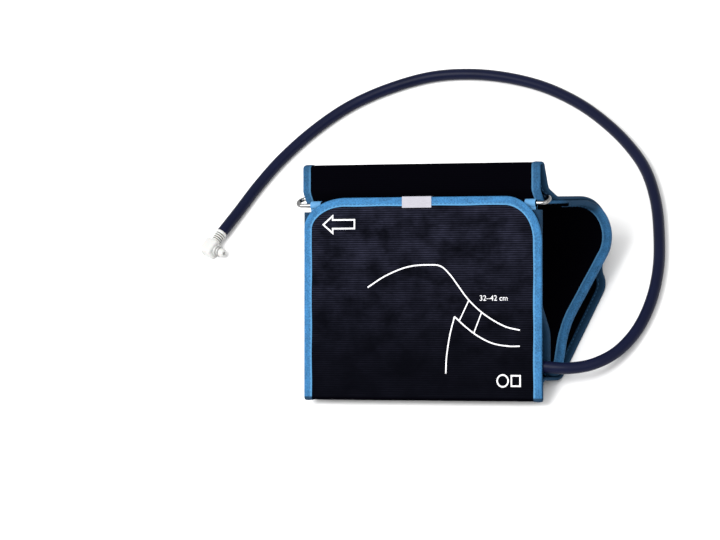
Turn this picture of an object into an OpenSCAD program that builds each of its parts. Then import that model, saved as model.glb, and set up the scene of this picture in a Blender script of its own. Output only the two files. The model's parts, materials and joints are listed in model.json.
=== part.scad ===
// Upper-arm blood pressure cuff, closed into a loop through its bar ring and laid on a table.
// One long band runs from the hem at the ring, down the front wall, round the bottom fold, up the
// back wall, through the ring, over a flat fold, down outside the back wall and along the table,
// and ends in a rounded front flap.  The hose leaves under the flap and lies on the table.
//
// The side outline is drawn in flap coordinates [u, w]: u runs up the flap from its bottom fold,
// w is the depth behind the flap's face.  x runs across the band.  All sizes are in millimetres.

/* [Band] */
// Width of the band, edge to edge
band_w = 150; // [125:1:180]
// Thickness of the wrap, the part that holds the bladder
wrap_t = 3.8; // [3.2:0.1:4.6]
// Thickness of the tail, the part behind the ring
tail_t = 1.8; // [1.5:0.1:2.2]
// Width of the edge binding seen on each face
bind_w = 6; // [4:0.5:8]
// Thickness of the binding tape
tape_t = 0.3; // [0.2:0.05:0.4]

/* [Wrap layers] */
// Thickness of the outer shell fabric
shell_t = 0.8; // [0.6:0.1:1]
// Thickness of the springy plastic stay
stay_t = 0.6; // [0.4:0.1:0.8]
// Thickness of the empty bladder
bladder_t = 1; // [0.8:0.1:1.2]
// Gap from the band's edge to the bladder's edge
bladder_inset = 11; // [9:0.5:16]

/* [Flap] */
// Length of the flap, from its bottom fold to its rounded end
flap_len = 118.5; // [105:0.5:145]
// Thickness of the flap at its binding
flap_t = 1.6; // [1.3:0.1:2]
// Radius of the flap's left end corner
corner_left = 17; // [10:0.5:30]
// Radius of the flap's right end corner
corner_right = 24; // [10:0.5:30]
// Thickness of the hook patch under the flap
hook_t = 0.9; // [0.6:0.1:1]
// Length of the hook patch across the band
hook_len = 118; // [60:1:120]
// Width of the hook patch along the band
hook_w = 42; // [30:1:48]

/* [Loop] */
// Depth of the arm loop behind the flap's face
loop_depth = 57; // [48:0.5:68]
// Radius of the loop's hump
hump_r = 21; // [16:0.5:24]
// Height of the flat fold of the tail above the ring
strip_h = 20; // [14:0.5:30]

/* [Ring] */
// Diameter of the ring's wire
wire_d = 2.6; // [2.2:0.1:3]
// Clear gap between the ring's two bars
ring_gap = 4.3; // [4.1:0.1:5.5]
// Straight length of the ring past each edge of the band
ring_over = 0.8; // [0.5:0.1:4]
// Length of the hem that holds the lower bar
hem_len = 142; // [100:1:146]
// Thickness of the hem fabric
hem_t = 0.8; // [0.6:0.1:1]

/* [Hose and plug] */
// Outer diameter of the hose
hose_d = 6.8; // [6:0.1:7.2]
// Side of the plug's elbow block
elbow_side = 8.8; // [7.5:0.1:9]
// Length of the plug's elbow block
elbow_len = 10; // [9:0.1:13]
// Outer diameter of the nozzle that goes into the monitor
nozzle_d = 5; // [4:0.1:5.6]
// Length of the nozzle
nozzle_len = 7; // [6:0.1:10]
// Diameter of the air passage
air_d = 2.2; // [1.6:0.1:2.6]

/* [Hidden] */
// Lean of the flap's face from the table
lean = 35;
// Running clearance on the radius between the bar and the hem
run_gap = 0.05;
// Rest gap between neighbouring layers of cloth
rest_gap = 0.15;
// Gap kept over the flap's travel
flap_gap = 0.3;
half_w = band_w / 2;
$fn = 48;

// ---- side outline ----

// Ring: the lower bar turns in the hem, the upper bar carries the tail.
hem_r = wire_d / 2 + run_gap + hem_t;
hem_room = 1.15;
bar = [flap_len - 4.2, flap_t + hem_room + hem_r];
ring_pitch = ring_gap + wire_d;
ring_tilt = 54.5;
top_bar = bar + ring_pitch * [cos(ring_tilt), sin(ring_tilt)];
bar_room = wire_d / 2 + tail_t / 2;

// The tail passes between the bars, over the upper bar and down behind it.  Its corners are
// set by their offsets from the upper bar's axis.
gate_low = top_bar - [bar_room + 1.1, 1.9];
gate_high = top_bar + [3.7, -2.7 - bar_room];
back_low = top_bar + [-1, bar_room + 2.5];
back_high = top_bar + [4.2, bar_room - 0.5];
fold_r = 1.5;
fold_tip = top_bar[0] + strip_h;
fold_front = gate_high[1];

// Inner loop: its back wall runs level with the table, then turns over the hump to the ring.
throat = [gate_low[0] + tail_t / 2, gate_low[1]];
throat_angle = 88.2;
hump_w = loop_depth - hump_r;
hump_c = [throat[0] + (hump_w - throat[1]) / tan(throat_angle) - hump_r / sin(throat_angle), hump_w];
level = hump_c + hump_r * [-sin(lean), cos(lean)];
hump_corner = meet(throat, throat_angle, level, lean);
seam = 24;

// Bottom fold of the inner loop, with room for the hose in front of it.
hose_r = hose_d / 2;
hose_w = flap_t + flap_gap + hose_r;
wall_gap = 0.1;
front_low = hose_w + hose_r + wall_gap;
hook_room = 0.7;
front_high = flap_t + hook_t - tape_t + hook_room;
bottom_tip = 14.5;
bottom_r = 5.4;
bottom_flat = 0.1;
bottom_c = [bottom_tip + bottom_r, front_low + bottom_r + bottom_flat];
wall_angle = 11.3;
bottom_back = bottom_c[1] + bottom_r * tan((90 - wall_angle) / 2);
knee = meet([bottom_tip, bottom_back], wall_angle, level, lean);
knee_r = 50;
hem_edge = bar[0] - 3.9;

// Table line: the tail lies along it.  It passes just under the bottom fold.
table_gap = tail_t + 2 * rest_gap;
table_c = bottom_c + (bottom_r + table_gap) * [-sin(lean), cos(lean)];
rise = table_c[1] * cos(lean) - table_c[0] * sin(lean);
tail_base = table_c - tail_t / 2 * [-sin(lean), cos(lean)];
hug = tail_t / 2 + rest_gap;
hug_corner = meet(throat + hug * [sin(throat_angle), -cos(throat_angle)], throat_angle,
    level + hug * [-sin(lean), cos(lean)], lean);
valley_drop = 18;
bulge_drop = 10;
valley = meet([hump_c[0] - valley_drop, 0], 90, level + hug * [-sin(lean), cos(lean)], lean);
bulge = meet([valley[0] - bulge_drop, 0], 90, tail_base, lean);
tail_back_w = flap_t + rest_gap + tail_t / 2;
turn_gap = 0.4;
turn_u = bottom_tip - tail_t / 2 - turn_gap;
tail_end = 1.8;

wrap_corners = [
    [hem_edge, front_high, 0], [54, front_high, 15], [39, front_low, 15],
    [bottom_tip, front_low, bottom_r], [bottom_tip, bottom_back, bottom_r],
    [knee[0], knee[1], knee_r], [hump_corner[0], hump_corner[1], hump_r],
    [throat[0] + (seam - throat[1]) / tan(throat_angle), seam, 0]
];
tail_front_corners = [
    [throat[0] + (seam - throat[1]) / tan(throat_angle) - tail_t / 2, seam, 0],
    [gate_low[0], gate_low[1], 2.6], [gate_high[0], gate_high[1], 7],
    [fold_tip - tail_t / 2, fold_front, fold_r - 0.02],
    [fold_tip - tail_t / 2, fold_front + fold_r, 0]
];
tail_back_corners = [
    [fold_tip - tail_t / 2, fold_front + fold_r, 0],
    [fold_tip - tail_t / 2, fold_front + 2 * fold_r, fold_r - 0.02],
    [back_high[0], back_high[1], 5], [back_low[0], back_low[1], 3],
    [hug_corner[0], hug_corner[1], hump_r + hug],
    [valley[0], valley[1], 8], [bulge[0], bulge[1], 9],
    [turn_u, tail_base[1] + (turn_u - tail_base[0]) * tan(lean), 5],
    [turn_u, tail_back_w, 3.2], [tail_end, tail_back_w, 0]
];

// Sideways drift of the loop: the deeper the band lies, the further it leans to the right.
// Past the seam the tail is drawn back to the middle of the ring.
function drift(w) = 0.44 * (w - 4) - 1;
function ring_shift(w) = 2.6 * ease((seam - w) / (seam - 10));
function tail_drift(w) = 0.365 * (w - tail_back_w);
function ease(s) = let(c = min(1, max(0, s))) c * c * (3 - 2 * c);
function strip_part(u) = ease((u - top_bar[0] + 2) / 8);
strip_x = -2.5;

wrap_path = [for (p = sample(round_path(wrap_corners), 7)) [p[0], p[1], drift(p[1])]];
tail_path = [
    for (p = sample(round_path(tail_front_corners), 7)) [p[0], p[1], drift(p[1]) - ring_shift(p[1])],
    for (p = tail_of(sample(round_path(tail_back_corners), 7)))
        [p[0], p[1], tail_drift(p[1]) - 3.8 * strip_part(p[0])]
];

// ---- helpers ----

function unit(v) = v / norm(v);
function tail_of(list) = [for (i = [1:len(list) - 1]) list[i]];
function side(a, b) = a[0] * b[1] - a[1] * b[0];

// Point where the line through p at angle a meets the line through q at angle b.
function meet(p, a, q, b) =
    let (d = [cos(a), sin(a)], e = [cos(b), sin(b)])
    p + d * side(q - p, e) / side(d, e);

// Arc of radius r that rounds the corner b between a and c.
function round_corner(a, b, c, r) =
    let (
        back = unit(a - b), ahead = unit(c - b),
        half = acos(back * ahead) / 2, turn = 180 - 2 * half,
        start = b + back * r / tan(half), centre = b + unit(back + ahead) * r / sin(half),
        way = side(ahead, back) > 0 ? 1 : -1,
        first = atan2(start[1] - centre[1], start[0] - centre[0]), steps = ceil(turn / 12)
    )
    [for (i = [0:steps]) centre + r * [cos(first + way * turn * i / steps), sin(first + way * turn * i / steps)]];

// A line through corners [u, w, radius], with the inner corners rounded.
function round_path(corners) = [
    for (i = [0:len(corners) - 1])
        let (here = [corners[i][0], corners[i][1]])
        each i == 0 || i == len(corners) - 1 ? [here]
            : round_corner([corners[i - 1][0], corners[i - 1][1]], here,
                [corners[i + 1][0], corners[i + 1][1]], corners[i][2])
];

// The same line with no stretch longer than step.
function sample(path, step) = [
    each [for (i = [0:len(path) - 2])
        let (n = max(1, ceil(norm(path[i + 1] - path[i]) / step)))
        each [for (k = [0:n - 1]) path[i] + (path[i + 1] - path[i]) * k / n]],
    path[len(path) - 1]
];

// Outward direction at point i, lengthened so that offset lines stay parallel.
function outward(path, i) =
    let (
        here = [path[i][0], path[i][1]],
        last = len(path) - 1,
        before = i == 0 ? undef : unit(here - [path[i - 1][0], path[i - 1][1]]),
        after = i == last ? undef : unit([path[i + 1][0], path[i + 1][1]] - here),
        a = i == 0 ? after : before, b = i == last ? before : after,
        mid = unit(a + b)
    )
    [-mid[1], mid[0]] / (mid * a);

// Flap coordinates to the object's frame.
function place(x, u, w) = [
    x - origin_x,
    u * cos(lean) + w * sin(lean) - origin_y,
    u * sin(lean) - w * cos(lean) + rise
];

// Origin: middle of the cuff's base, below the band and the ring.
ring_len = band_w + 2 * ring_over + 2 * (ring_pitch + wire_d) / 2;
hinge_u = 1;
flap_start = hinge_u + 1;
right_edge = half_w + drift(loop_depth);
origin_x = (strip_x - ring_len / 2 + right_edge) / 2;
front_edge = flap_start * cos(lean);
strip_top = fold_tip * cos(lean) + (fold_front + 2 * fold_r) * sin(lean);
loop_back = hump_c[0] * cos(lean) + hump_c[1] * sin(lean) + hump_r + tail_t;
origin_y = (front_edge + max(strip_top, loop_back)) / 2;

// A run of cloth along a path: outer and inner are matching edges of its section,
// as [x, offset] points.
module run(path, outer, inner, from = 0, upto = -1) {
    last = upto < 0 ? len(path) + upto : upto;
    section = concat(outer, [for (i = [len(inner) - 1:-1:0]) inner[i]]);
    k = len(section);
    m = len(outer);
    points = [
        for (i = [from:last])
            let (out = outward(path, i))
            for (s = section)
                place(s[0] + path[i][2], path[i][0] + out[0] * s[1], path[i][1] + out[1] * s[1])
    ];
    rings = last - from;
    walls = [
        for (i = [0:rings - 1]) for (j = [0:k - 1])
            let (a = i * k + j, b = i * k + (j + 1) % k)
            each [[a, a + k, b], [b, a + k, b + k]]
    ];
    ends = [
        for (j = [0:m - 2])
            each [
                [j, j + 1, k - 1 - j], [j + 1, k - 2 - j, k - 1 - j],
                [rings * k + j + 1, rings * k + j, rings * k + k - 1 - j],
                [rings * k + k - 2 - j, rings * k + j + 1, rings * k + k - 1 - j]
            ]
    ];
    polyhedron(points = points, faces = concat(walls, ends), convexity = 12);
}

// A flat ply between two offsets, out to x = reach each way.
module ply(path, reach, high, low, from = 0, upto = -1)
    run(path, [[-reach, high], [reach, high]], [[-reach, low], [reach, low]], from, upto);

// Binding tape folded over one edge of the band.
module edge_tape(path, way, high, low) {
    x0 = way * half_w;
    x1 = way * (half_w - tape_t);
    x2 = way * (half_w - bind_w);
    outer = [[x2, high], [x0, high], [x0, low], [x2, low]];
    inner = [[x2, high - tape_t], [x1, high - tape_t], [x1, low + tape_t], [x2, low + tape_t]];
    if (way > 0) run(path, outer, inner);
    else run(path, inner, outer);
}

// Puts children drawn in the flap's plane (x, u, -w) in place.
module on_flap()
    translate([-origin_x, -origin_y, rise]) rotate([lean, 0, 0]) children();

// ---- wrap: the bladder part of the band ----

shell_low = -tape_t - shell_t;
stay_low = shell_low - stay_t;
bladder_low = stay_low - bladder_t;
port_x = 10;
port_u = 27;
flange_r = 6.5;
stem_r = 4;

module port_hole(r)
    on_flap() translate([port_x, port_u, -front_low - wrap_t - 1]) cylinder(r = r, h = wrap_t + 2);

module wrap_shell() color("#101014") difference() {
    ply(wrap_path, half_w - tape_t, -tape_t, shell_low);
    port_hole(stem_r + 0.1);
}

module wrap_stay() color("#dfe4ea") difference() {
    ply(wrap_path, half_w - bladder_inset + 2, shell_low, stay_low, 2, len(wrap_path) - 3);
    port_hole(flange_r + 0.2);
}

module wrap_bladder() color("#8f98a8")
    ply(wrap_path, half_w - bladder_inset, stay_low, bladder_low, 2, len(wrap_path) - 3);

module wrap_lining() color("#16171f")
    ply(wrap_path, half_w - tape_t, bladder_low, -wrap_t + tape_t);

module wrap_binding_left() color("#3d84c6") edge_tape(wrap_path, -1, 0, -wrap_t);
module wrap_binding_right() color("#3d84c6") edge_tape(wrap_path, 1, 0, -wrap_t);

// ---- hem and ring ----

hem_x = -1;
hem_plate_t = 2;
end_tape_len = 6.5;
end_tape_t = 0.35;

// Puts children on the lower bar's axis: x along the bar, y up the flap.
module on_bar() on_flap() translate([0, bar[0], -bar[1]]) children();

module bar_rod(r, length, x) translate([x - length / 2, 0, 0]) rotate([0, 90, 0]) cylinder(r = r, h = length);

module hem_plate(x, length) {
    reach = bar[0] - hem_edge;
    translate([x - length / 2, -reach, -hem_plate_t / 2]) cube([length, reach, hem_plate_t]);
}

module ring_hem() color("#14151c") on_bar() difference() {
    union() {
        bar_rod(hem_r, hem_len, hem_x);
        hem_plate(hem_x, hem_len);
    }
    bar_rod(wire_d / 2 + run_gap, hem_len + 2, hem_x);
}

module hem_end_tapes() color("#4a94d6") on_bar() difference() {
    for (way = [-1, 1])
        bar_rod(hem_r + end_tape_t, end_tape_len, hem_x + way * (hem_len - end_tape_len) / 2);
    bar_rod(hem_r, hem_len + 2, hem_x);
    hem_plate(hem_x, hem_len + 2);
}

module ring_end() rotate([0, 0, -90]) rotate_extrude(angle = 180) translate([ring_pitch / 2, 0]) circle(d = wire_d);

module bar_ring() color("#c9ccd1") on_bar() rotate([-ring_tilt, 0, 0]) translate([strip_x, ring_pitch / 2, 0]) {
    straight = ring_len - ring_pitch - wire_d;
    for (way = [-1, 1]) translate([0, way * ring_pitch / 2, 0]) bar_rod(wire_d / 2, straight, 0);
    for (way = [-1, 1]) translate([way * straight / 2, 0, 0]) rotate([0, way < 0 ? 180 : 0, 0]) ring_end();
}

// ---- tail: from the seam, through the ring, to the bottom fold ----

tail_half = tail_t / 2;

module tail_shell() color("#0d0d12") ply(tail_path, half_w - tape_t, tail_half - tape_t, 0);
module tail_lining() color("#101117") ply(tail_path, half_w - tape_t, 0, tape_t - tail_half);
module tail_binding_left() color("#2f6cab") edge_tape(tail_path, -1, tail_half, -tail_half);
module tail_binding_right() color("#2f6cab") edge_tape(tail_path, 1, tail_half, -tail_half);

// ---- flap: the rounded end of the tail, folded up over the front ----

hinge_w = flap_t + rest_gap / 2;
ply_t = (flap_t - 2 * tape_t) / 2;

// Outline of the flap, drawn in by inset on its three bound edges.
module flap_outline(inset) {
    left = -half_w + inset;
    right = half_w - inset;
    top = flap_len - inset;
    r_left = corner_left - inset;
    r_right = corner_right - inset;
    low_r = max(r_left, r_right);
    translate([left, flap_start]) square([right - left, top - low_r - flap_start]);
    translate([left + r_left, top - low_r - 1]) square([right - left - r_left - r_right, low_r + 1]);
    translate([left, top - low_r - 1]) square([r_left + 1, low_r + 1 - r_left]);
    translate([right - r_right - 1, top - low_r - 1]) square([r_right + 1, low_r + 1 - r_right]);
    translate([left + r_left, top - r_left]) circle(r = r_left);
    translate([right - r_right, top - r_right]) circle(r = r_right);
}

module sheet(inset, high, low) translate([0, 0, -low]) linear_extrude(low - high) flap_outline(inset);

module flap_front() color("#171a2b") on_flap() sheet(tape_t, tape_t, tape_t + ply_t);
module flap_back() color("#0d0d12") on_flap() sheet(tape_t, tape_t + ply_t, flap_t - tape_t);

module flap_binding() color("#428bcf") on_flap() difference() {
    sheet(0, 0, flap_t);
    sheet(tape_t, tape_t, flap_t - tape_t);
    intersection() {
        translate([0, 0, -flap_t - 1]) linear_extrude(flap_t + 2) union() {
            flap_outline(bind_w);
            translate([-half_w + bind_w, flap_start - 1]) square([band_w - 2 * bind_w, 2]);
        }
        translate([-band_w, -1, -flap_t - 1]) cube([2 * band_w, flap_len + 2, flap_t + 2]);
    }
}

module flap_hook_patch() color("#050507") on_flap()
    translate([-hook_len / 2, flap_len - bind_w - 8 - hook_w, -flap_t + tape_t - hook_t])
        cube([hook_len, hook_w, hook_t]);

tab_w = 18.5;
tab_x = -2.8;
tab_drop = 6.2;
tab_t = 0.25;
module label_tab() color("#d8d9e2") on_flap() translate([tab_x - tab_w / 2, flap_len - tab_drop, 0]) difference() {
    translate([0, 0, -flap_t - tab_t]) cube([tab_w, tab_drop + tab_t, flap_t + 2 * tab_t]);
    translate([-1, -1, -flap_t]) cube([tab_w + 2, tab_drop + 1, flap_t]);
}

// ---- air line ----

spigot_r = 2.2;
spigot_len = 6;
flange_t = stay_t;

module bladder_port() color("#2a2c34") on_flap() translate([port_x, port_u, 0]) {
    flange_back = front_low - stay_low;
    difference() {
        union() {
            translate([0, 0, -flange_back]) cylinder(r = flange_r, h = flange_t);
            translate([0, 0, -flange_back]) cylinder(r = stem_r, h = flange_back - flap_t - flap_gap);
            translate([0, 0, -hose_w]) rotate([0, 90, 0]) cylinder(r = spigot_r, h = spigot_len);
        }
        translate([0, 0, -flange_back - 1]) cylinder(d = air_d, h = flange_back + 1 - hose_w);
        translate([0, 0, -hose_w]) rotate([0, 90, 0]) cylinder(d = air_d, h = spigot_len + 1);
    }
}

module port_grommet() color("#23252d") on_flap() translate([port_x, port_u, -front_low - tape_t]) difference() {
    cylinder(r = stem_r + 2, h = 0.9);
    translate([0, 0, -1]) cylinder(r = stem_r + 0.05, h = 3);
}

// Route of the hose, from the port's spigot to the plug.
route = [
    place(port_x + spigot_len, port_u, hose_w), [25, -38, 18], [45, -40.2, 16.5], [68, -42.2, 15],
    [82, -42, 13.4], [95, -36.5, 10], [106, -25, 6.2], [114, -8, 4], [118, 13, 3.6],
    [117.5, 36, 3.5], [113, 60, 3.5], [106, 84, 3.5], [95, 107, 3.5], [80, 126, 3.5],
    [62, 143, 3.5], [41, 158.5, 3.5], [16, 171.5, 3.5], [-10, 179.5, 3.5], [-36, 183, 3.5],
    [-62, 181.5, 3.5], [-88, 173, 3.5], [-111, 160, 3.5], [-130, 142, 3.5], [-146, 120.5, 3.5],
    [-157, 99.5, 3.5], [-165, 79.5, 3.8], [-171.5, 63, 4.5]
];
route_end = route[len(route) - 1];
route_heading = atan2(-16.5, -6.5);

function spline(p0, p1, p2, p3, s) =
    0.5 * (2 * p1 + (p2 - p0) * s + (2 * p0 - 5 * p1 + 4 * p2 - p3) * s * s
        + (3 * p1 - p0 - 3 * p2 + p3) * s * s * s);
function route_at(i) = route[max(0, min(len(route) - 1, i))];
hose_pts = [
    each [for (i = [0:len(route) - 2]) each [for (s = [0, 0.5])
        spline(route_at(i - 1), route_at(i), route_at(i + 1), route_at(i + 2), s)]],
    route_end
];
hose_sides = 12;

module hose() color("#1c2450") {
    n = len(hose_pts);
    points = [
        for (i = [0:n - 1])
            let (
                ahead = i == 0 ? [1, 0, 0] : i == n - 1 ? [cos(route_heading), sin(route_heading), 0]
                    : unit(hose_pts[i + 1] - hose_pts[i - 1]),
                across = unit(cross(ahead, [0, 0, 1])), up = cross(across, ahead)
            )
            for (j = [0:hose_sides - 1])
                hose_pts[i] + hose_r * (cos(j * 360 / hose_sides) * across + sin(j * 360 / hose_sides) * up)
    ];
    walls = [
        for (i = [0:n - 2]) for (j = [0:hose_sides - 1])
            let (a = i * hose_sides + j, b = i * hose_sides + (j + 1) % hose_sides)
            each [[a, a + hose_sides, b], [b, a + hose_sides, b + hose_sides]]
    ];
    ends = [[for (j = [0:hose_sides - 1]) j], [for (j = [hose_sides - 1:-1:0]) (n - 1) * hose_sides + j]];
    polyhedron(points = points, faces = concat(walls, ends), convexity = 10);
}

// Plug: ribbed ferrule, elbow block and sealed nozzle.
module at_plug() translate(route_end) rotate([0, 0, route_heading]) children();
module along_x(r, h, x = 0) translate([x, 0, 0]) rotate([0, 90, 0]) cylinder(r = r, h = h);

ferrule_len = 6.4;
rib_pitch = 1.9;
rib_len = 1.1;
core_r = 1.9;
neck_len = 1.2;
nozzle_x = ferrule_len + neck_len + elbow_len / 2;
o_ring_r = 0.5;
groove_w = 1.1;
groove_r = nozzle_d / 2 - 0.45;
groove_at = [1.4, 3.2];

module plug_ferrule() color("#f1f2f0") at_plug() difference() {
    union() {
        along_x(hose_r - 0.6, ferrule_len);
        for (i = [0:2]) along_x(hose_r, rib_len, i * rib_pitch);
        along_x(hose_r - 0.3, ferrule_len - 3 * rib_pitch, 3 * rib_pitch);
    }
    along_x(core_r, ferrule_len + 2, -1);
}

module at_nozzle() at_plug() translate([nozzle_x, 0, 0]) rotate([90, 0, 180]) children();

module plug_elbow() color("#f6f7f6") difference() {
    union() {
        at_plug() {
            along_x(core_r, ferrule_len + neck_len + 1);
            along_x(core_r + 0.7, neck_len + 1, ferrule_len);
            translate([ferrule_len + neck_len, -elbow_side / 2, -elbow_side / 2])
                cube([elbow_len, elbow_side, elbow_side]);
        }
        at_nozzle() cylinder(d = nozzle_d, h = elbow_side / 2 + nozzle_len);
    }
    at_plug() along_x(air_d / 2, nozzle_x + 1, -1);
    at_nozzle() {
        cylinder(d = air_d, h = elbow_side / 2 + nozzle_len + 1);
        for (z = groove_at) translate([0, 0, elbow_side / 2 + z - groove_w / 2]) difference() {
            cylinder(r = nozzle_d / 2 + 1, h = groove_w);
            translate([0, 0, -1]) cylinder(r = groove_r, h = groove_w + 2);
        }
    }
}

module nozzle_o_rings() color("#b9bcc0") at_nozzle() for (z = groove_at)
    translate([0, 0, elbow_side / 2 + z]) rotate_extrude() translate([groove_r + o_ring_r, 0]) circle(r = o_ring_r);

wrap_shell();
wrap_stay();
wrap_bladder();
wrap_lining();
wrap_binding_left();
wrap_binding_right();
ring_hem();
hem_end_tapes();
bar_ring();
tail_shell();
tail_lining();
tail_binding_left();
tail_binding_right();
flap_front();
flap_back();
flap_binding();
flap_hook_patch();
label_tab();
bladder_port();
port_grommet();
hose();
plug_ferrule();
plug_elbow();
nozzle_o_rings();
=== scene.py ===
"""Looks of an upper-arm blood pressure cuff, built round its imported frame. Lengths are in metres
unless a name or a comment says millimetres."""

import json
import math

import bmesh
import bpy
import numpy as np
from mathutils import Matrix, Vector
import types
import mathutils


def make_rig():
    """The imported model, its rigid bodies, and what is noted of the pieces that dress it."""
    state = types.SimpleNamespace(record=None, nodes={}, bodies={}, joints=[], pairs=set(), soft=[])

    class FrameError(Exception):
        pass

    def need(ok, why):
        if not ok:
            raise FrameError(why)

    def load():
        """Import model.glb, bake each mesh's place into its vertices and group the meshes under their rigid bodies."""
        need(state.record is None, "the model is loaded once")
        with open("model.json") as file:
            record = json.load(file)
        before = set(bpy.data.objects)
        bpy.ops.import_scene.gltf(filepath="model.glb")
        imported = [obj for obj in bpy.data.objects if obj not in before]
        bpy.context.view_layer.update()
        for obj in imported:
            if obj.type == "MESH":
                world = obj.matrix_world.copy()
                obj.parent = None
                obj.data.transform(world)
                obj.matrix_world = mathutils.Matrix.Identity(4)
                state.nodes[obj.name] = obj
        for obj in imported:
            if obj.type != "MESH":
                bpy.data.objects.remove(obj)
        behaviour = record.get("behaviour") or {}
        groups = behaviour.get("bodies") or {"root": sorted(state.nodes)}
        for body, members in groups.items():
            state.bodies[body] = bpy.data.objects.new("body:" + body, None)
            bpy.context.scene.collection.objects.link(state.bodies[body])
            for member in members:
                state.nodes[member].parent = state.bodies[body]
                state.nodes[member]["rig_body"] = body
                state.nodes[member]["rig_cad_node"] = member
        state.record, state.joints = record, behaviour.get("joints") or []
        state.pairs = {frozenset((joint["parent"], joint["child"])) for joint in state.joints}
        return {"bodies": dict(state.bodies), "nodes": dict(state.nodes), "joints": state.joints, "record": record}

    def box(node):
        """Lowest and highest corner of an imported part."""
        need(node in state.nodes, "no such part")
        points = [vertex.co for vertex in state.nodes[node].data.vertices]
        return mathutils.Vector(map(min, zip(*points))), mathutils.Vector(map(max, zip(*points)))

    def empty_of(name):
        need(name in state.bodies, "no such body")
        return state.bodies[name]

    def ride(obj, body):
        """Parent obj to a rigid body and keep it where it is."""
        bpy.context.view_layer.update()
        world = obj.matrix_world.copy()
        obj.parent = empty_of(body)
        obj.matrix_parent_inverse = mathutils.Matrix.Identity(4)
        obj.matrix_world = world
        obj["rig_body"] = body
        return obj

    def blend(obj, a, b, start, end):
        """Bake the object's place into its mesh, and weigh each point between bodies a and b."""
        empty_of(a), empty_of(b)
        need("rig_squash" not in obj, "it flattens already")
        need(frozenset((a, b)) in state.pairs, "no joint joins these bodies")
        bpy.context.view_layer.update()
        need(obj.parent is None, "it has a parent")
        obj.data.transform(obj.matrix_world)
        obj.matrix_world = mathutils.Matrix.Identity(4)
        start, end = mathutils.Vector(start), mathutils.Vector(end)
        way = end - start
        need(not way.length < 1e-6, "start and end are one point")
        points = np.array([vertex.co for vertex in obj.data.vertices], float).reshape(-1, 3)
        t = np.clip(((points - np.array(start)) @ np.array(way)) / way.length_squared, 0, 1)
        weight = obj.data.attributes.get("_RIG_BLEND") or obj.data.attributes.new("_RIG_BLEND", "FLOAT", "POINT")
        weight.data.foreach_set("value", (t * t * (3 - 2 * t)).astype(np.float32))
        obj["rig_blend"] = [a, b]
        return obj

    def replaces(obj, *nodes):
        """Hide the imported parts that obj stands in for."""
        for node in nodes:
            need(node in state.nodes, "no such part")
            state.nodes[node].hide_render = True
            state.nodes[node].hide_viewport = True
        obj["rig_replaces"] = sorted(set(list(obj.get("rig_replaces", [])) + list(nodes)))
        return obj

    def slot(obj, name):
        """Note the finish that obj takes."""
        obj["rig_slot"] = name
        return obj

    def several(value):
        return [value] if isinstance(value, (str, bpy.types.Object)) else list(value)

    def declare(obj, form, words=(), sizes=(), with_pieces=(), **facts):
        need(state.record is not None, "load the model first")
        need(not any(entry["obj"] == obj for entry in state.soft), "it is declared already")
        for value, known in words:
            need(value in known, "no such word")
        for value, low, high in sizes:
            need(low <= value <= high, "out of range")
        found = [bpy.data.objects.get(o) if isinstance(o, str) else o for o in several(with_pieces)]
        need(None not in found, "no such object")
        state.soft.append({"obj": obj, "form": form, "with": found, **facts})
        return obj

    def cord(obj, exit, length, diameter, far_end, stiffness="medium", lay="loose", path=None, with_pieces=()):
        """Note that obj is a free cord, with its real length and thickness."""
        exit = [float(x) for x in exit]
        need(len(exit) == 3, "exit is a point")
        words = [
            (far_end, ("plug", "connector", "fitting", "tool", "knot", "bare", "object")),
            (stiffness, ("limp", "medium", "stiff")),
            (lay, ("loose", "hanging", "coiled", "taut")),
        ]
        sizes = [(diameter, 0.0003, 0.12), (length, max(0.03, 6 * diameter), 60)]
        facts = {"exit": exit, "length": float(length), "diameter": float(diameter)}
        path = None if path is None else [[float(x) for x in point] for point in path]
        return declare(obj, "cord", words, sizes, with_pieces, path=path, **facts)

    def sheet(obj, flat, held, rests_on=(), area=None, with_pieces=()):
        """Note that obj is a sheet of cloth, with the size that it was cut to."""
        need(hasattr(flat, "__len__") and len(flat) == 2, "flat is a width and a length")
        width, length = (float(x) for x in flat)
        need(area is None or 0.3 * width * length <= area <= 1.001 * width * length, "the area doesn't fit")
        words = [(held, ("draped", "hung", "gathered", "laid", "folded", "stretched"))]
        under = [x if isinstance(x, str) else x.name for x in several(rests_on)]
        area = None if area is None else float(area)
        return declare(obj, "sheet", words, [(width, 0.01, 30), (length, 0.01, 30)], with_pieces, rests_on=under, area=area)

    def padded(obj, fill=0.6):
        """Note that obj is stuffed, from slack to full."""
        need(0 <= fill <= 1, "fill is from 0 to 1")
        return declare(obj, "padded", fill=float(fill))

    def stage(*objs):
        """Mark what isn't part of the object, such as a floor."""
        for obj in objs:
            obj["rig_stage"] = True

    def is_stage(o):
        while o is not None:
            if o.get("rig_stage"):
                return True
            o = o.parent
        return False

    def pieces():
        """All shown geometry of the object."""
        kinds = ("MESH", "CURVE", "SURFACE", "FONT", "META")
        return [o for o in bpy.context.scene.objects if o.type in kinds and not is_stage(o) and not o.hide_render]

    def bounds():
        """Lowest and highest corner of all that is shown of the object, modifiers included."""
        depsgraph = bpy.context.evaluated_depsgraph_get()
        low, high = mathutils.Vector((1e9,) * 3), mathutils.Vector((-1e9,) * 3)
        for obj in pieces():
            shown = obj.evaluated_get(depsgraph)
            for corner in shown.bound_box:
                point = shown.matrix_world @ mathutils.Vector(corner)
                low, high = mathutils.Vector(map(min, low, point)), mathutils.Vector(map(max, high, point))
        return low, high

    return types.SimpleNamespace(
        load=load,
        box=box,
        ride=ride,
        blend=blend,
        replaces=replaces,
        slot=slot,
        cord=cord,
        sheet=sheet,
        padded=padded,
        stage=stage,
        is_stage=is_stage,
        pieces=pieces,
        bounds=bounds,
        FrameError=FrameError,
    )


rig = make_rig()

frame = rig.load()
CAD_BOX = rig.bounds()

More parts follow.
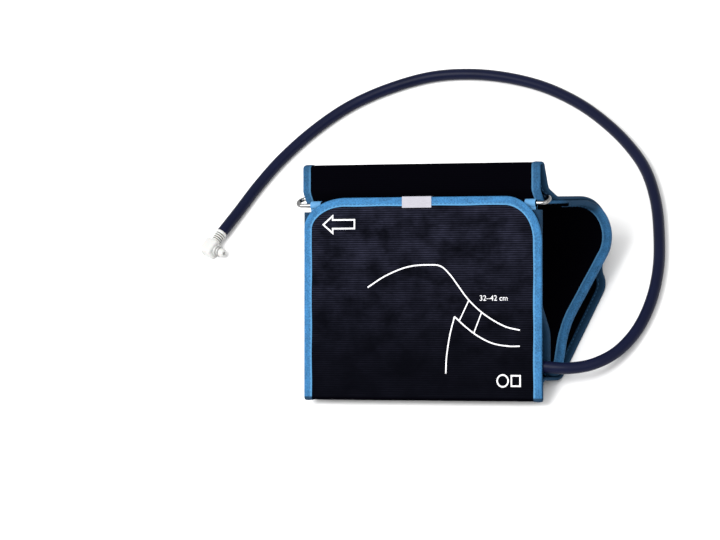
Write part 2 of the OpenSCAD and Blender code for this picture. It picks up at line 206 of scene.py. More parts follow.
bl_info = {
    "name": "Blood Pressure Cuff",
    "version": (1, 0, 0),
    "blender": (4, 5, 0),
    "location": "View3D > Sidebar > Cuff",
    "description": "Builds the cloth, tapes, stitches, prints, hose and plug of an upper-arm cuff",
    "category": "Add Mesh",
}

MM = 0.001
LEAN = math.radians(35)

# Air hose: its route on to the plug, in millimetres. The end of the port's spigot comes before it.
ROUTE = [
    (25, -38, 18), (45, -40.2, 16.5), (68, -42.2, 15),
    (82, -42, 13.4), (95, -36.5, 10), (106, -25, 6.2), (114, -8, 4), (118, 13, 3.6),
    (117.5, 36, 3.5), (113, 60, 3.5), (106, 84, 3.5), (95, 107, 3.5), (80, 126, 3.5),
    (62, 143, 3.5), (41, 158.5, 3.5), (16, 171.5, 3.5), (-10, 179.5, 3.5), (-36, 183, 3.5),
    (-62, 181.5, 3.5), (-88, 173, 3.5), (-111, 160, 3.5), (-130, 142, 3.5), (-146, 120.5, 3.5),
    (-157, 99.5, 3.5), (-165, 79.5, 3.8), (-171.5, 63, 4.5),
]
PLUG_HEADING = math.atan2(-16.5, -6.5)

# Plug, in millimetres from the hose's end: the collar's length, the neck's and the nozzle's place.
FERRULE, NECK = 6.4, 1.2
NOZZLE_AT = FERRULE + NECK + 5

# The tapes are folded under a little at their edges, so less of their width shows, in millimetres.
TAPE_SHOWN = 5.1

# Stitches: how far from the tape's inner edge they run, in millimetres, then half the length and
# half the thickness of one, in metres.
STITCH_INSET = 1.1
STITCH_LENGTH, STITCH_THREAD = 0.00085, 0.00017

# A cloth's tape holds it flat this far in from the edge, and it is at its fullest this much
# further in, in millimetres.
HELD_FLAT, FULL_AFTER = 3.8, 8


def length(name, description, default):
    """A length property."""
    return bpy.props.FloatProperty(
        name=name, description=description, default=default, unit="LENGTH", precision=5
    )


def colour(name, description, default):
    """A colour property, as linear red, green and blue."""
    return bpy.props.FloatVectorProperty(
        name=name, description=description, default=default, subtype="COLOR", size=3
    )


class CuffSizes(bpy.types.PropertyGroup):
    """Sizes of the band, the flap, the ring and the hose."""

    band_width: length("Band width", "Width of the band, edge to edge", 0.150)
    wrap_thickness: length("Wrap thickness", "Thickness of the bladder part", 0.0038)
    tail_thickness: length("Tail thickness", "Thickness of the band past the ring", 0.0018)
    tape_width: length("Edge tape width", "Width of the edge tape on each face", 0.006)
    tape_thickness: length("Edge tape thickness", "Thickness of the edge tape", 0.0003)
    flap_length: length("Flap length", "Length of the flap", 0.1185)
    flap_thickness: length("Flap thickness", "Thickness of the flap", 0.0016)
    corner_left: length("Left corner", "Radius of the flap's left corner", 0.017)
    corner_right: length("Right corner", "Radius of the flap's right corner", 0.024)
    hook_height: length("Hook patch thickness", "Thickness of the hook patch", 0.0009)
    hook_length: length("Hook patch length", "Length of the hook patch across the band", 0.118)
    hook_width: length("Hook patch width", "Width of the hook patch along the band", 0.042)
    loop_depth: length("Loop depth", "Depth of the loop behind the flap", 0.057)
    hump_radius: length("Hump radius", "Radius of the loop's hump", 0.021)
    strip_height: length("Strip height", "Height of the fold above the ring", 0.020)
    wire: length("Wire", "Diameter of the ring's wire", 0.0026)
    ring_gap: length("Ring gap", "Gap between the ring's bars", 0.0043)
    ring_over: length("Ring overhang", "Straight length of the ring past the band", 0.0008)
    hem_length: length("Hem length", "Length of the hem round the lower bar", 0.142)
    hem_cloth: length("Hem cloth", "Thickness of the hem's cloth", 0.0008)
    hose: length("Hose", "Outer diameter of the hose", 0.0068)
    elbow_side: length("Elbow side", "Side of the plug's block", 0.0088)
    elbow_length: length("Elbow length", "Length of the plug's block", 0.010)
    nozzle: length("Nozzle", "Diameter of the plug's nozzle", 0.005)
    nozzle_length: length("Nozzle length", "Length of the plug's nozzle", 0.007)
    air_passage: length("Air passage", "Diameter of the air passage", 0.0022)
    stitch_pitch: length("Stitch pitch", "Distance from stitch to stitch", 0.0026)
    rib_pitch: length("Rib pitch", "Distance from rib to rib of the face cloth", 0.0013)
    hook_pitch: length("Hook pitch", "Distance from hook to hook", 0.0015)


class CuffColours(bpy.types.PropertyGroup):
    """Colours of the cuff's materials."""

    tape: colour("Edge tape", "Blue of the edge tape", (0.042, 0.185, 0.40))
    tape_edge: colour("Tape edge", "Lighter blue of the tape's woven edges", (0.085, 0.265, 0.48))
    hem_tape: colour("Hem tape", "Pale blue of the tape at the hem's ends", (0.055, 0.20, 0.39))
    # This navy grey shows only where the face cloth's painted sheen is strongest; elsewhere its ribs stay near the
    # ground colour.
    rib: colour("Face cloth ribs", "Navy grey of the face cloth's ribs", (0.034, 0.035, 0.062))
    ground: colour("Face cloth ground", "Black navy between the ribs", (0.0010, 0.0011, 0.0024))
    velour: colour("Velour", "Black of the looped outer cloth", (0.0007, 0.0006, 0.0014))
    hose: colour("Hose", "Dark navy of the hose", (0.0034, 0.0050, 0.0200))
    plug: colour("Plug", "White of the plug", (0.80, 0.80, 0.78))
    label: colour("Label", "Silver of the label", (0.50, 0.49, 0.55))
    print: colour("Print", "White of the printed marks", (0.80, 0.80, 0.82))


# ---- side outline, in millimetres ----


def arc(before, corner, after, radius):
    """Points of the arc that rounds a corner between two others."""
    back, ahead = unit(before - corner), unit(after - corner)
    half = math.acos(float(np.clip(back @ ahead, -1, 1))) / 2
    turn = math.pi - 2 * half
    start = corner + back * radius / math.tan(half)
    centre = corner + unit(back + ahead) * radius / math.sin(half)
    way = 1 if ahead[0] * back[1] - ahead[1] * back[0] > 0 else -1
    first = math.atan2(start[1] - centre[1], start[0] - centre[0])
    steps = max(2, math.ceil(math.degrees(turn) / 4))
    angles = first + way * turn * np.arange(steps + 1) / steps
    return [centre + radius * np.array([math.cos(a), math.sin(a)]) for a in angles]


def unit(v):
    """v at length 1."""
    return v / np.linalg.norm(v)


def rounded(corners):
    """A line through corners (u, w, radius), with its inner corners rounded."""
    flat = [np.array(c[:2], float) for c in corners]
    points = [flat[0]]
    for i in range(1, len(corners) - 1):
        points += arc(flat[i - 1], flat[i], flat[i + 1], corners[i][2])
    return points + [flat[-1]]


def spaced(points, step):
    """The same line with no stretch longer than step."""
    points = [np.array(p, float) for p in points]
    out = []
    for a, b in zip(points, points[1:]):
        n = max(1, math.ceil(np.linalg.norm(b - a) / step))
        out += [a + (b - a) * k / n for k in range(n)]
    return np.array(out + [points[-1]])


def meet(p, a, q, b):
    """Where the line through p at angle a meets the line through q at angle b, in degrees."""
    p, q = np.array(p, float), np.array(q, float)
    d = np.array([math.cos(math.radians(a)), math.sin(math.radians(a))])
    e = np.array([math.cos(math.radians(b)), math.sin(math.radians(b))])
    way = q - p
    return p + d * (way[0] * e[1] - way[1] * e[0]) / (d[0] * e[1] - d[1] * e[0])


def ease(s):
    """A smooth step from 0 to 1."""
    c = np.clip(s, 0, 1)
    return c * c * (3 - 2 * c)


class Path:
    """A line of the side outline: its points, outward directions, sideways shift and arc length."""

    def __init__(self, points, shift):
        self.points = points
        self.shift = np.array([shift(u, w) for u, w in points])
        step = np.diff(points, axis=0)
        step /= np.linalg.norm(step, axis=1)[:, None]
        before = np.vstack([step[:1], step])
        after = np.vstack([step, step[-1:]])
        mid = before + after
        mid /= np.linalg.norm(mid, axis=1)[:, None]
        stretch = (mid * before).sum(axis=1)
        self.out = np.stack([-mid[:, 1], mid[:, 0]], axis=1) / stretch[:, None]
        gaps = np.linalg.norm(np.diff(points, axis=0), axis=1)
        self.along = np.concatenate([[0], np.cumsum(gaps)])

    def part(self, first, last):
        """The stretch between two arc lengths."""
        keep = (self.along >= first - 1e-6) & (self.along <= last + 1e-6)
        other = object.__new__(Path)
        for name in ("points", "shift", "out", "along"):
            setattr(other, name, getattr(self, name)[keep])
        return other


class Outline:
    """The band's side outline in flap coordinates: u runs up the flap, w is the depth behind its face.
    It follows the same construction as the solids."""

    def __init__(self, sizes):
        mm = {name: getattr(sizes, name) / MM for name in CuffSizes.__annotations__}
        self.mm = mm
        lean = math.degrees(LEAN)

        # The ring on its hem, and the gate of cloth through it.
        level_up = np.array([-math.sin(LEAN), math.cos(LEAN)])
        run_gap, rest_gap, flap_gap, hem_room = 0.05, 0.15, 0.3, 1.15
        wire, tail_t, flap_t = mm["wire"], mm["tail_thickness"], mm["flap_thickness"]
        self.half = mm["band_width"] / 2
        self.hem_r = wire / 2 + run_gap + mm["hem_cloth"]
        self.bar = np.array([mm["flap_length"] - 4.2, flap_t + hem_room + self.hem_r])
        pitch = mm["ring_gap"] + wire
        tilt = math.radians(54.5)
        top_bar = self.bar + pitch * np.array([math.cos(tilt), math.sin(tilt)])
        bar_room = wire / 2 + tail_t / 2
        gate_low = top_bar - [bar_room + 1.1, 1.9]
        gate_high = top_bar + [3.7, -2.7 - bar_room]
        back_low = top_bar + [-1, bar_room + 2.5]
        back_high = top_bar + [4.2, bar_room - 0.5]
        fold_r = 1.5
        fold_tip = top_bar[0] + mm["strip_height"]
        fold_front = gate_high[1]

        # The loop: its hump, its front and its bottom fold.
        throat = np.array([gate_low[0] + tail_t / 2, gate_low[1]])
        angle = 88.2
        hump_r = mm["hump_radius"]
        hump_w = mm["loop_depth"] - hump_r
        lean_in = math.tan(math.radians(angle))
        hump = np.array([
            throat[0] + (hump_w - throat[1]) / lean_in - hump_r / math.sin(math.radians(angle)), hump_w
        ])
        level = hump + hump_r * level_up
        hump_corner = meet(throat, angle, level, lean)
        seam = 24
        hose_r = mm["hose"] / 2
        self.hose_w = flap_t + flap_gap + hose_r
        front_low = self.hose_w + hose_r + 0.1
        front_high = flap_t + mm["hook_height"] - mm["tape_thickness"] + 0.7
        tip, bottom_r = 14.5, 5.4
        bottom = np.array([tip + bottom_r, front_low + bottom_r + 0.1])
        wall_angle = 11.3
        bottom_back = bottom[1] + bottom_r * math.tan(math.radians((90 - wall_angle) / 2))
        knee = meet([tip, bottom_back], wall_angle, level, lean)
        self.hem_edge = self.bar[0] - 3.9

        # The tail: it hugs the loop's back, lies on the table and turns up into the flap.
        table = bottom + (bottom_r + tail_t + 2 * rest_gap) * level_up
        self.rise = table[1] * math.cos(LEAN) - table[0] * math.sin(LEAN)
        base = table - tail_t / 2 * level_up
        hug = tail_t / 2 + rest_gap
        aside = np.array([math.sin(math.radians(angle)), -math.cos(math.radians(angle))])
        hug_corner = meet(throat + hug * aside, angle, level + hug * level_up, lean)
        valley = meet([hump[0] - 18, 0], 90, level + hug * level_up, lean)
        bulge = meet([valley[0] - 10, 0], 90, base, lean)
        self.back_w = flap_t + rest_gap + tail_t / 2
        turn_u = tip - tail_t / 2 - 0.4
        turn_w = base[1] + (turn_u - base[0]) * math.tan(LEAN)
        self.tail_end = 1.8
        self.flap_mid = flap_t / 2
        seam_u = throat[0] + (seam - throat[1]) / lean_in

        # The lines themselves, as corners (u, w, radius).
        wrap = [
            (self.hem_edge, front_high, 0), (54, front_high, 15), (39, front_low, 15),
            (tip, front_low, bottom_r), (tip, bottom_back, bottom_r),
            (knee[0], knee[1], 50), (hump_corner[0], hump_corner[1], hump_r), (seam_u, seam, 0),
        ]
        front = [
            (seam_u - tail_t / 2, seam, 0), (gate_low[0], gate_low[1], 2.6),
            (gate_high[0], gate_high[1], 7), (fold_tip - tail_t / 2, fold_front, fold_r - 0.02),
            (fold_tip - tail_t / 2, fold_front + fold_r, 0),
        ]
        back = [
            (fold_tip - tail_t / 2, fold_front + fold_r, 0),
            (fold_tip - tail_t / 2, fold_front + 2 * fold_r, fold_r - 0.02),
            (back_high[0], back_high[1], 5), (back_low[0], back_low[1], 3),
            (hug_corner[0], hug_corner[1], hump_r + hug), (valley[0], valley[1], 8),
            (bulge[0], bulge[1], 9), (turn_u, turn_w, 5), (turn_u, self.back_w, 3.2),
            (self.tail_end, self.back_w, 0),
        ]
        self.top_bar, self.seam = top_bar, seam

        # Where the object's frame lies along x and y.
        drift_end = 0.44 * (mm["loop_depth"] - 4) - 1
        self.ring_x = -2.5
        self.ring_length = mm["band_width"] + 2 * mm["ring_over"] + pitch + wire
        self.origin_x = (self.ring_x - self.ring_length / 2 + self.half + drift_end) / 2
        strip_top = fold_tip * math.cos(LEAN) + (fold_front + 2 * fold_r) * math.sin(LEAN)
        loop_back = hump[0] * math.cos(LEAN) + hump[1] * math.sin(LEAN) + hump_r + tail_t
        self.flap_start = 2
        self.origin_y = (self.flap_start * math.cos(LEAN) + max(strip_top, loop_back)) / 2

        self.wrap = Path(spaced(rounded(wrap), 2.0), lambda u, w: self.drift(w))
        front_line = spaced(rounded(front), 1.5)
        back_line = spaced(rounded(back), 2.0)
        fold_mid = (self.back_w + self.flap_mid) / 2
        fold_radius = (self.back_w - self.flap_mid) / 2
        turn = [
            (self.tail_end - fold_radius * math.sin(a), fold_mid + fold_radius * math.cos(a))
            for a in np.radians(np.arange(15, 181, 15))
        ]
        line = np.vstack([front_line, back_line[1:], turn, [(self.flap_start + 0.05, self.flap_mid)]])
        self.fold_at = len(front_line)
        count = iter(range(len(line)))
        self.tail = Path(line, lambda u, w: self.tail_shift(u, w, next(count) < self.fold_at))

    def drift(self, w):
        """Sideways lean of the loop: it grows with the depth."""
        return 0.44 * (w - 4) - 1

    def tail_shift(self, u, w, before_fold):
        """Sideways shift of the band past the seam."""
        if before_fold:
            return self.drift(w) - 2.6 * float(ease((self.seam - w) / (self.seam - 10)))
        strip = float(ease((u - self.top_bar[0] + 2) / 8))
        return 0.365 * max(0, w - self.back_w) - 3.8 * strip

    def place(self, x, u, w):
        """Flap coordinates in millimetres to the object's frame in metres."""
        x, u, w = np.broadcast_arrays(*(np.asarray(part, float) for part in (x, u, w)))
        return MM * np.stack([
            x - self.origin_x,
            u * math.cos(LEAN) + w * math.sin(LEAN) - self.origin_y,
            u * math.sin(LEAN) - w * math.cos(LEAN) + self.rise,
        ], axis=-1)

    def layer(self, path, xs, offsets):
        """A grid of points on a path: xs across, offsets out from the line."""
        u = path.points[:, :1] + path.out[:, :1] * offsets
        w = path.points[:, 1:] + path.out[:, 1:] * offsets
        return self.place(xs[None, :] + path.shift[:, None], u, w)


OUTLINE = None


def outline():
    """The scene's outline, worked out once from its sizes."""
    global OUTLINE
    if OUTLINE is None:
        OUTLINE = Outline(bpy.context.scene.cuff_sizes)
        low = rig.box("flap_front")[0]
        start = OUTLINE.place(-OUTLINE.half, OUTLINE.flap_start, OUTLINE.mm["tape_thickness"])
        near = 0.3 * MM
        if abs(low[1] - start[1]) > near:
            raise ValueError("the outline does not lie on the packed frame")
    return OUTLINE


# ---- mesh helpers ----


def new_piece(name, verts, faces, uvs=None, sharp=40):
    """A mesh object from points and faces, its faces turned outwards, with one UV pair for each point."""
    mesh = bpy.data.meshes.new(name)
    mesh.from_pydata([tuple(map(float, v)) for v in verts], [], faces)
    if uvs is not None:
        index = np.zeros(len(mesh.loops), int)
        mesh.loops.foreach_get("vertex_index", index)
        layer = mesh.uv_layers.new(name="UVMap")
        layer.data.foreach_set("uv", np.asarray(uvs, np.float32)[index].ravel())
    work = bmesh.new()
    work.from_mesh(mesh)
    bmesh.ops.recalc_face_normals(work, faces=work.faces)
    work.to_mesh(mesh)
    work.free()
    mesh.shade_smooth()
    mesh.set_sharp_from_angle(angle=math.radians(sharp))
    piece = bpy.data.objects.new(name, mesh)
    bpy.context.scene.collection.objects.link(piece)
    return piece


def closed_sheet(name, top, bottom, uv, **more):
    """A closed cloth between two grids of points."""
    rows, cols = top.shape[:2]
    verts = np.concatenate([top.reshape(-1, 3), bottom.reshape(-1, 3)])
    uvs = np.concatenate([uv.reshape(-1, 2)] * 2)
    under = rows * cols
    faces = []
    for i in range(rows - 1):
        for j in range(cols - 1):
            a = i * cols + j
            faces.append((a, a + 1, a + cols + 1, a + cols))
            faces.append((under + a, under + a + cols, under + a + cols + 1, under + a + 1))
    rim = list(range(cols))
    rim += [i * cols + cols - 1 for i in range(1, rows)]
    rim += [(rows - 1) * cols + j for j in range(cols - 2, -1, -1)]
    rim += [i * cols for i in range(rows - 2, 0, -1)]
    for a, b in zip(rim, rim[1:] + rim[:1]):
        faces.append((a, under + a, under + b, b))
    return new_piece(name, verts, faces, uvs, **more)


def uv_grid(across, along):
    """UV pairs of a grid of points, from places across and along that may be a row and a column."""
    return np.stack(np.broadcast_arrays(across, along), axis=-1)


def swept(name, rings, uvs, **more):
    """A closed body through rings of points, with its two ends filled."""
    count, size = rings.shape[:2]
    faces = [
        (i * size + j, i * size + (j + 1) % size, (i + 1) * size + (j + 1) % size, (i + 1) * size + j)
        for i in range(count - 1)
        for j in range(size)
    ]
    faces += [tuple(range(size)), tuple((count - 1) * size + j for j in range(size))]
    return new_piece(name, rings.reshape(-1, 3), faces, uvs.reshape(-1, 2), **more)


def turned(profile, sides):
    """Points and faces of a closed profile (along, radius) turned about the x axis, in millimetres."""
    verts = []
    for x, r in profile:
        for k in range(sides):
            a = 2 * math.pi * k / sides
            verts.append((x, r * math.cos(a), r * math.sin(a)))
    n = len(profile)
    faces = [
        (i * sides + k, i * sides + (k + 1) % sides, ((i + 1) % n) * sides + (k + 1) % sides,
         ((i + 1) % n) * sides + k)
        for i in range(n)
        for k in range(sides)
    ]
    return verts, faces


def merged(name, parts, **more):
    """One piece from several (points, faces) bodies."""
    verts, faces = [], []
    for points, polygons in parts:
        base = len(verts)
        verts += [tuple(p) for p in points]
        faces += [tuple(base + i for i in polygon) for polygon in polygons]
    return new_piece(name, verts, faces, **more)


def row_curve(name, lines):
    """A curve object of plain lines, for stitches to follow."""
    curve = bpy.data.curves.new(name, "CURVE")
    curve.dimensions = "3D"
    for points in lines:
        spline = curve.splines.new("POLY")
        spline.points.add(len(points) - 1)
        for point, co in zip(spline.points, points):
            point.co = (*map(float, co), 1)
    piece = bpy.data.objects.new(name, curve)
    bpy.context.scene.collection.objects.link(piece)
    return piece


def through_nodes(source, name, tree, **values):
    """The plain mesh that a geometry node tree makes of an object, named name; the object goes."""
    modifier = source.modifiers.new("nodes", "NODES")
    modifier.node_group = tree
    for item in tree.interface.items_tree:
        if item.in_out == "INPUT" and item.name in values:
            modifier[item.identifier] = values[item.name]
    bpy.context.view_layer.update()
    evaluated = source.evaluated_get(bpy.context.evaluated_depsgraph_get())
    mesh = bpy.data.meshes.new_from_object(evaluated)
    piece = bpy.data.objects.new(name, mesh)
    bpy.context.scene.collection.objects.link(piece)
    bpy.data.objects.remove(source)
    mesh.name = name
    mesh.shade_smooth()
    return piece


class NodeTree:
    """A geometry node tree in the making."""

    def __init__(self, name, inputs):
        self.tree = bpy.data.node_groups.new(name, "GeometryNodeTree")
        self.tree.interface.new_socket("Geometry", in_out="INPUT", socket_type="NodeSocketGeometry")
        for label, kind in inputs:
            self.tree.interface.new_socket(label, in_out="INPUT", socket_type=kind)
        self.tree.interface.new_socket("Geometry", in_out="OUTPUT", socket_type="NodeSocketGeometry")
        self.start = self.tree.nodes.new("NodeGroupInput")
        self.end = self.tree.nodes.new("NodeGroupOutput")

    def node(self, kind, settings=None, **inputs):
        """A node with its settings, and its sockets' values or links by name."""
        made = self.tree.nodes.new(kind)
        for key, value in (settings or {}).items():
            setattr(made, key, value)
        for key, value in inputs.items():
            socket = made.inputs[key.replace("_", " ")]
            if isinstance(value, bpy.types.NodeSocket):
                self.tree.links.new(value, socket)
            else:
                socket.default_value = value
        return made

    def finish(self, instances):
        """Ends the tree in Realize Instances and Set Material."""
        real = self.node("GeometryNodeRealizeInstances", Geometry=instances)
        painted = self.node(
            "GeometryNodeSetMaterial", Geometry=real.outputs[0], Material=self.start.outputs["Material"]
        )
        self.tree.links.new(painted.outputs[0], self.end.inputs[0])
        return self.tree


def stitch_tree():
    """Stitches in a row: small thread loops, each laid along the curve."""
    make = NodeTree("Stitch row", [
        ("Pitch", "NodeSocketFloat"), ("Length", "NodeSocketFloat"), ("Thread", "NodeSocketFloat"),
        ("Material", "NodeSocketMaterial"),
    ])
    give = make.start.outputs
    row = make.node(
        "GeometryNodeResampleCurve", {"mode": "LENGTH"}, Curve=give["Geometry"], Length=give["Pitch"]
    )
    thread = make.node("GeometryNodeMeshUVSphere", Segments=8, Rings=6, Radius=1.0)
    size = make.node("ShaderNodeCombineXYZ", X=give["Length"], Y=give["Thread"], Z=give["Thread"])
    shaped = make.node("GeometryNodeTransform", Geometry=thread.outputs[0], Scale=size.outputs[0])
    tangent = make.node("GeometryNodeInputTangent")
    turn = make.node("FunctionNodeAlignRotationToVector", {"axis": "X"}, Vector=tangent.outputs[0])
    laid = make.node(
        "GeometryNodeInstanceOnPoints", Points=row.outputs[0], Instance=shaped.outputs[0],
        Rotation=turn.outputs[0],
    )
    return make.finish(laid.outputs[0])


def hook_tree():
    """A field of small stiff hooks, each turned and tipped a little."""
    make = NodeTree("Hook field", [
        ("Length", "NodeSocketFloat"), ("Width", "NodeSocketFloat"), ("Columns", "NodeSocketInt"),
        ("Rows", "NodeSocketInt"), ("Height", "NodeSocketFloat"), ("Seed", "NodeSocketInt"),
        ("Material", "NodeSocketMaterial"),
    ])
    give = make.start.outputs
    field = make.node(
        "GeometryNodeMeshGrid", Size_X=give["Length"], Size_Y=give["Width"],
        Vertices_X=give["Columns"], Vertices_Y=give["Rows"],
    )
    stem = make.node(
        "GeometryNodeMeshCone", {"fill_type": "TRIANGLE_FAN"}, Vertices=6, Radius_Top=0.0001,
        Radius_Bottom=0.00022, Depth=give["Height"],
    )
    head = make.node("GeometryNodeMeshUVSphere", Segments=6, Rings=4, Radius=0.00026)
    lift = make.node("ShaderNodeCombineXYZ", Z=give["Height"])
    raised = make.node("GeometryNodeTransform", Geometry=head.outputs[0], Translation=lift.outputs[0])
    hook = make.node("GeometryNodeJoinGeometry")
    make.tree.links.new(stem.outputs[0], hook.inputs[0])
    make.tree.links.new(raised.outputs[0], hook.inputs[0])
    tip = make.node("FunctionNodeRandomValue", {"data_type": "FLOAT_VECTOR"}, Seed=give["Seed"])
    tip.inputs[0].default_value = (-0.25, -0.25, 0)
    tip.inputs[1].default_value = (0.25, 0.25, 6)
    laid = make.node(
        "GeometryNodeInstanceOnPoints", Points=field.outputs[0], Instance=hook.outputs[0],
        Rotation=tip.outputs[0],
    )
    return make.finish(laid.outputs[0])


# ---- materials ----


class Value:
    """A number or colour that changes over a surface. Arithmetic on numbers adds Math nodes."""

    def __init__(self, finish, socket):
        self.finish, self.socket = finish, socket

    def maths(self, operation, *values):
        return self.finish.node("ShaderNodeMath", {"operation": operation}, dict(enumerate(values)))

    def __add__(self, other):
        return self.maths("ADD", self, other)

    def __sub__(self, other):
        return self.maths("SUBTRACT", self, other)

    def __rsub__(self, other):
        return self.maths("SUBTRACT", other, self)

    def __mul__(self, other):
        return self.maths("MULTIPLY", self, other)

    __radd__, __rmul__ = __add__, __mul__

    def wave(self):
        """Its sine, brought to between 0 and 1."""
        return self.maths("SINE", self) * 0.5 + 0.5

    def size(self):
        """Its value without its sign."""
        return self.maths("ABSOLUTE", self)

    def above(self, low, high):
        """0 below low, 1 above high and a ramp between them."""
        return self.finish.node(
            "ShaderNodeMapRange", {"interpolation_type": "SMOOTHSTEP"}, {0: self, 1: low, 2: high}
        )


class Finish:
    """A material in the making, on one Principled shader."""

    def __init__(self, name, **constants):
        self.material = bpy.data.materials.new(name)
        self.material.use_nodes = True
        self.tree = self.material.node_tree
        self.shader = self.tree.nodes["Principled BSDF"]
        for key, value in constants.items():
            self.shader.inputs[key.replace("_", " ")].default_value = value

    def feed(self, socket, value):
        """Sets a socket to a number or colour, or links a Value to it."""
        if isinstance(value, Value):
            self.tree.links.new(value.socket, socket)
        else:
            socket.default_value = value

    def node(self, kind, settings, inputs, output=0):
        """A node of this kind: its settings first, then its sockets, as a Value."""
        made = self.tree.nodes.new(kind)
        for key, value in settings.items():
            setattr(made, key, value)
        for key, value in inputs.items():
            self.feed(made.inputs[key], value)
        return Value(self, made.outputs[output])

    def mix(self, share, first, second):
        """A colour between two."""
        colours = [tuple(c) + (1,) if not isinstance(c, Value) else c for c in (first, second)]
        return self.node(
            "ShaderNodeMix", {"data_type": "RGBA"}, {0: share, 6: colours[0], 7: colours[1]}, 2
        )

    def place(self, kind="Object"):
        """Where a point is: in the object's frame or on the piece's own map."""
        return self.node("ShaderNodeTexCoord", {}, {}, kind)

    def scaled(self, vector, scale):
        """The same place, stretched by a scale along each axis."""
        return self.node("ShaderNodeMapping", {}, {"Vector": vector, "Scale": scale})

    def parts(self, vector):
        """A place's three numbers."""
        split = self.tree.nodes.new("ShaderNodeSeparateXYZ")
        self.feed(split.inputs[0], vector)
        return [Value(self, split.outputs[i]) for i in range(3)]

    def noise(self, vector, scale, detail=2.0, rough=0.5):
        """Even noise from 0 to 1."""
        return self.node(
            "ShaderNodeTexNoise", {},
            {"Vector": vector, "Scale": scale, "Detail": detail, "Roughness": rough},
        )

    def paint(self, **values):
        """Feeds the shader's own sockets."""
        for key, value in values.items():
            self.feed(self.shader.inputs[key.replace("_", " ")], value)
        return self

    def bump(self, height, depth):
        """Raises the surface by height, depth metres at most."""
        return self.paint(
            Normal=self.node("ShaderNodeBump", {}, {"Strength": 1.0, "Distance": depth, "Height": height})
        )


FINISHES = {}


def finish(name):
    """The named material, made when it is first asked for."""
    if name not in FINISHES:
        FINISHES[name] = MAKERS[name]().material
    return FINISHES[name]


def palette(name):
    """One of the scene's colours."""
    return tuple(getattr(bpy.context.scene.cuff_colours, name))


def shaded(colour_values, share):
    """A colour made darker, or lighter above 1."""
    return tuple(c * share for c in colour_values)


def grained(name, scale, dark, light, depth=0, detail=2.0, **constants):
    """A plain material with an even grain between two colours, raised by depth metres."""
    made = Finish(name, **constants)
    grain = made.noise(made.place(), scale, detail)
    made.paint(Base_Color=made.mix(grain, dark, light))
    return made.bump(grain, depth) if depth else made


def ribbed(made, along, uv):
    """The slubs and the ribs of the ribbed cloth, from 0 to 1."""
    pitch = bpy.context.scene.cuff_sizes.rib_pitch
    slub = made.noise(made.scaled(uv, (180, 1400, 1)), 1.0, 3.0)
    return slub, (along * (2 * math.pi / pitch) + slub * 1.6).wave()


def face_cloth():
    """Dark navy cloth with fine ribs across the band and a slubby lighter yarn, under painted sheen: lighter in broad
    patches and towards the flap's upper end.
    """
    made = Finish("face_cloth", Specular_IOR_Level=0.015)
    uv = made.place("UV")
    across, along, _ = made.parts(uv)
    slub, rib = ribbed(made, along, uv)
    # painted sheen: broad patches where the ribs show lighter
    patch = made.noise(made.scaled(uv, (60, 75, 1)), 1.0, 3.0, 0.6)
    weft_pitch = 0.0007
    weft = (across * (2 * math.pi / weft_pitch)).wave()
    # painted sheen: a ramp that lightens the cloth towards the flap's upper end
    upper = along.above(0.250, 0.345) * 0.9 + 0.1
    # lit is the ribs and slubs times the painted sheen of patch and upper
    lit = (rib.above(0.35, 0.95) * 0.75 + 0.25) * (0.2 + slub * 0.9) * patch.above(0.20, 0.80) * upper
    made.paint(Base_Color=made.mix(lit, palette("ground"), palette("rib")))
    made.paint(Roughness=0.8 - lit * 0.2)
    return made.bump(rib * 0.8 + weft * 0.3 + slub * 0.5, 0.00022)


def band_face():
    """The same ribbed cloth along the band, where it is plain black."""
    made = Finish("band_face", Specular_IOR_Level=0.005)
    uv = made.place("UV")
    slub, rib = ribbed(made, made.parts(uv)[1], uv)
    made.paint(Base_Color=made.mix(rib * slub * 0.5, palette("velour"), palette("ground")))
    made.paint(Roughness=0.9 - slub * 0.1)
    return made.bump(rib * 0.4 + slub * 0.4, 0.00012)


def velour():
    """Black looped pile that hooks hold on to."""
    made = Finish("velour", Roughness=0.95, Specular_IOR_Level=0.005)
    spot = made.place()
    fuzz = made.noise(spot, 1900.0, 3.0, 0.7)
    nap = made.noise(spot, 45.0, 3.0)
    made.paint(Base_Color=made.mix(fuzz * nap, palette("velour"), (0.004, 0.004, 0.006)))
    return made.bump(fuzz + nap * 0.6, 0.0005)


def woven_tape(name, ground, edge, shade=1.0, painted_shade=()):
    """Folded edge tape: fine cross ribs, lighter woven edges and a mottled middle. shade below 1 darkens
    the whole tape as painted shade, and between each pair of places along it in the spans given last, in metres, where
    it lies between cloth layers, it is painted nearly navy as shadow."""
    rib_pitch, fade = 0.00075, 0.004
    made = Finish(name, Specular_IOR_Level=0.12)
    uv = made.place("UV")
    across, along, _ = made.parts(uv)
    speckle = made.noise(made.scaled(uv, (14, 1100, 1)), 1.0, 3.0, 0.65)
    patch = made.noise(made.scaled(uv, (3, 110, 1)), 1.0, 2.0)
    ribs = (along * (2 * math.pi / rib_pitch)).wave()
    selvedge = (across.size() - 0.5).size().above(0.36, 0.46)
    # painted shade: the whole tape darkened by shade
    bright = shaded(ground, shade)
    dark = shaded(bright, 0.42)
    body = made.mix(speckle.above(0.36, 0.62) * 0.6 + patch.above(0.3, 0.65) * 0.4, dark, bright)
    whole = made.mix(selvedge * 0.75, body, shaded(edge, shade))
    # painted shadow: nearly navy within each span where the tape lies between cloth layers
    for first, last in painted_shade:
        inside = along.above(first - fade, first + fade) - along.above(last - fade, last + fade)
        whole = made.mix(inside, whole, shaded(ground, 0.17))
    made.paint(Base_Color=whole)
    made.paint(Roughness=0.55 + speckle * 0.2)
    return made.bump(ribs * 0.7 + speckle * 0.5 + selvedge * 0.5, 0.00018)


def edge_tape_finish():
    """Blue tape of the flap's edge."""
    return woven_tape("edge_tape_blue", palette("tape"), palette("tape_edge"))


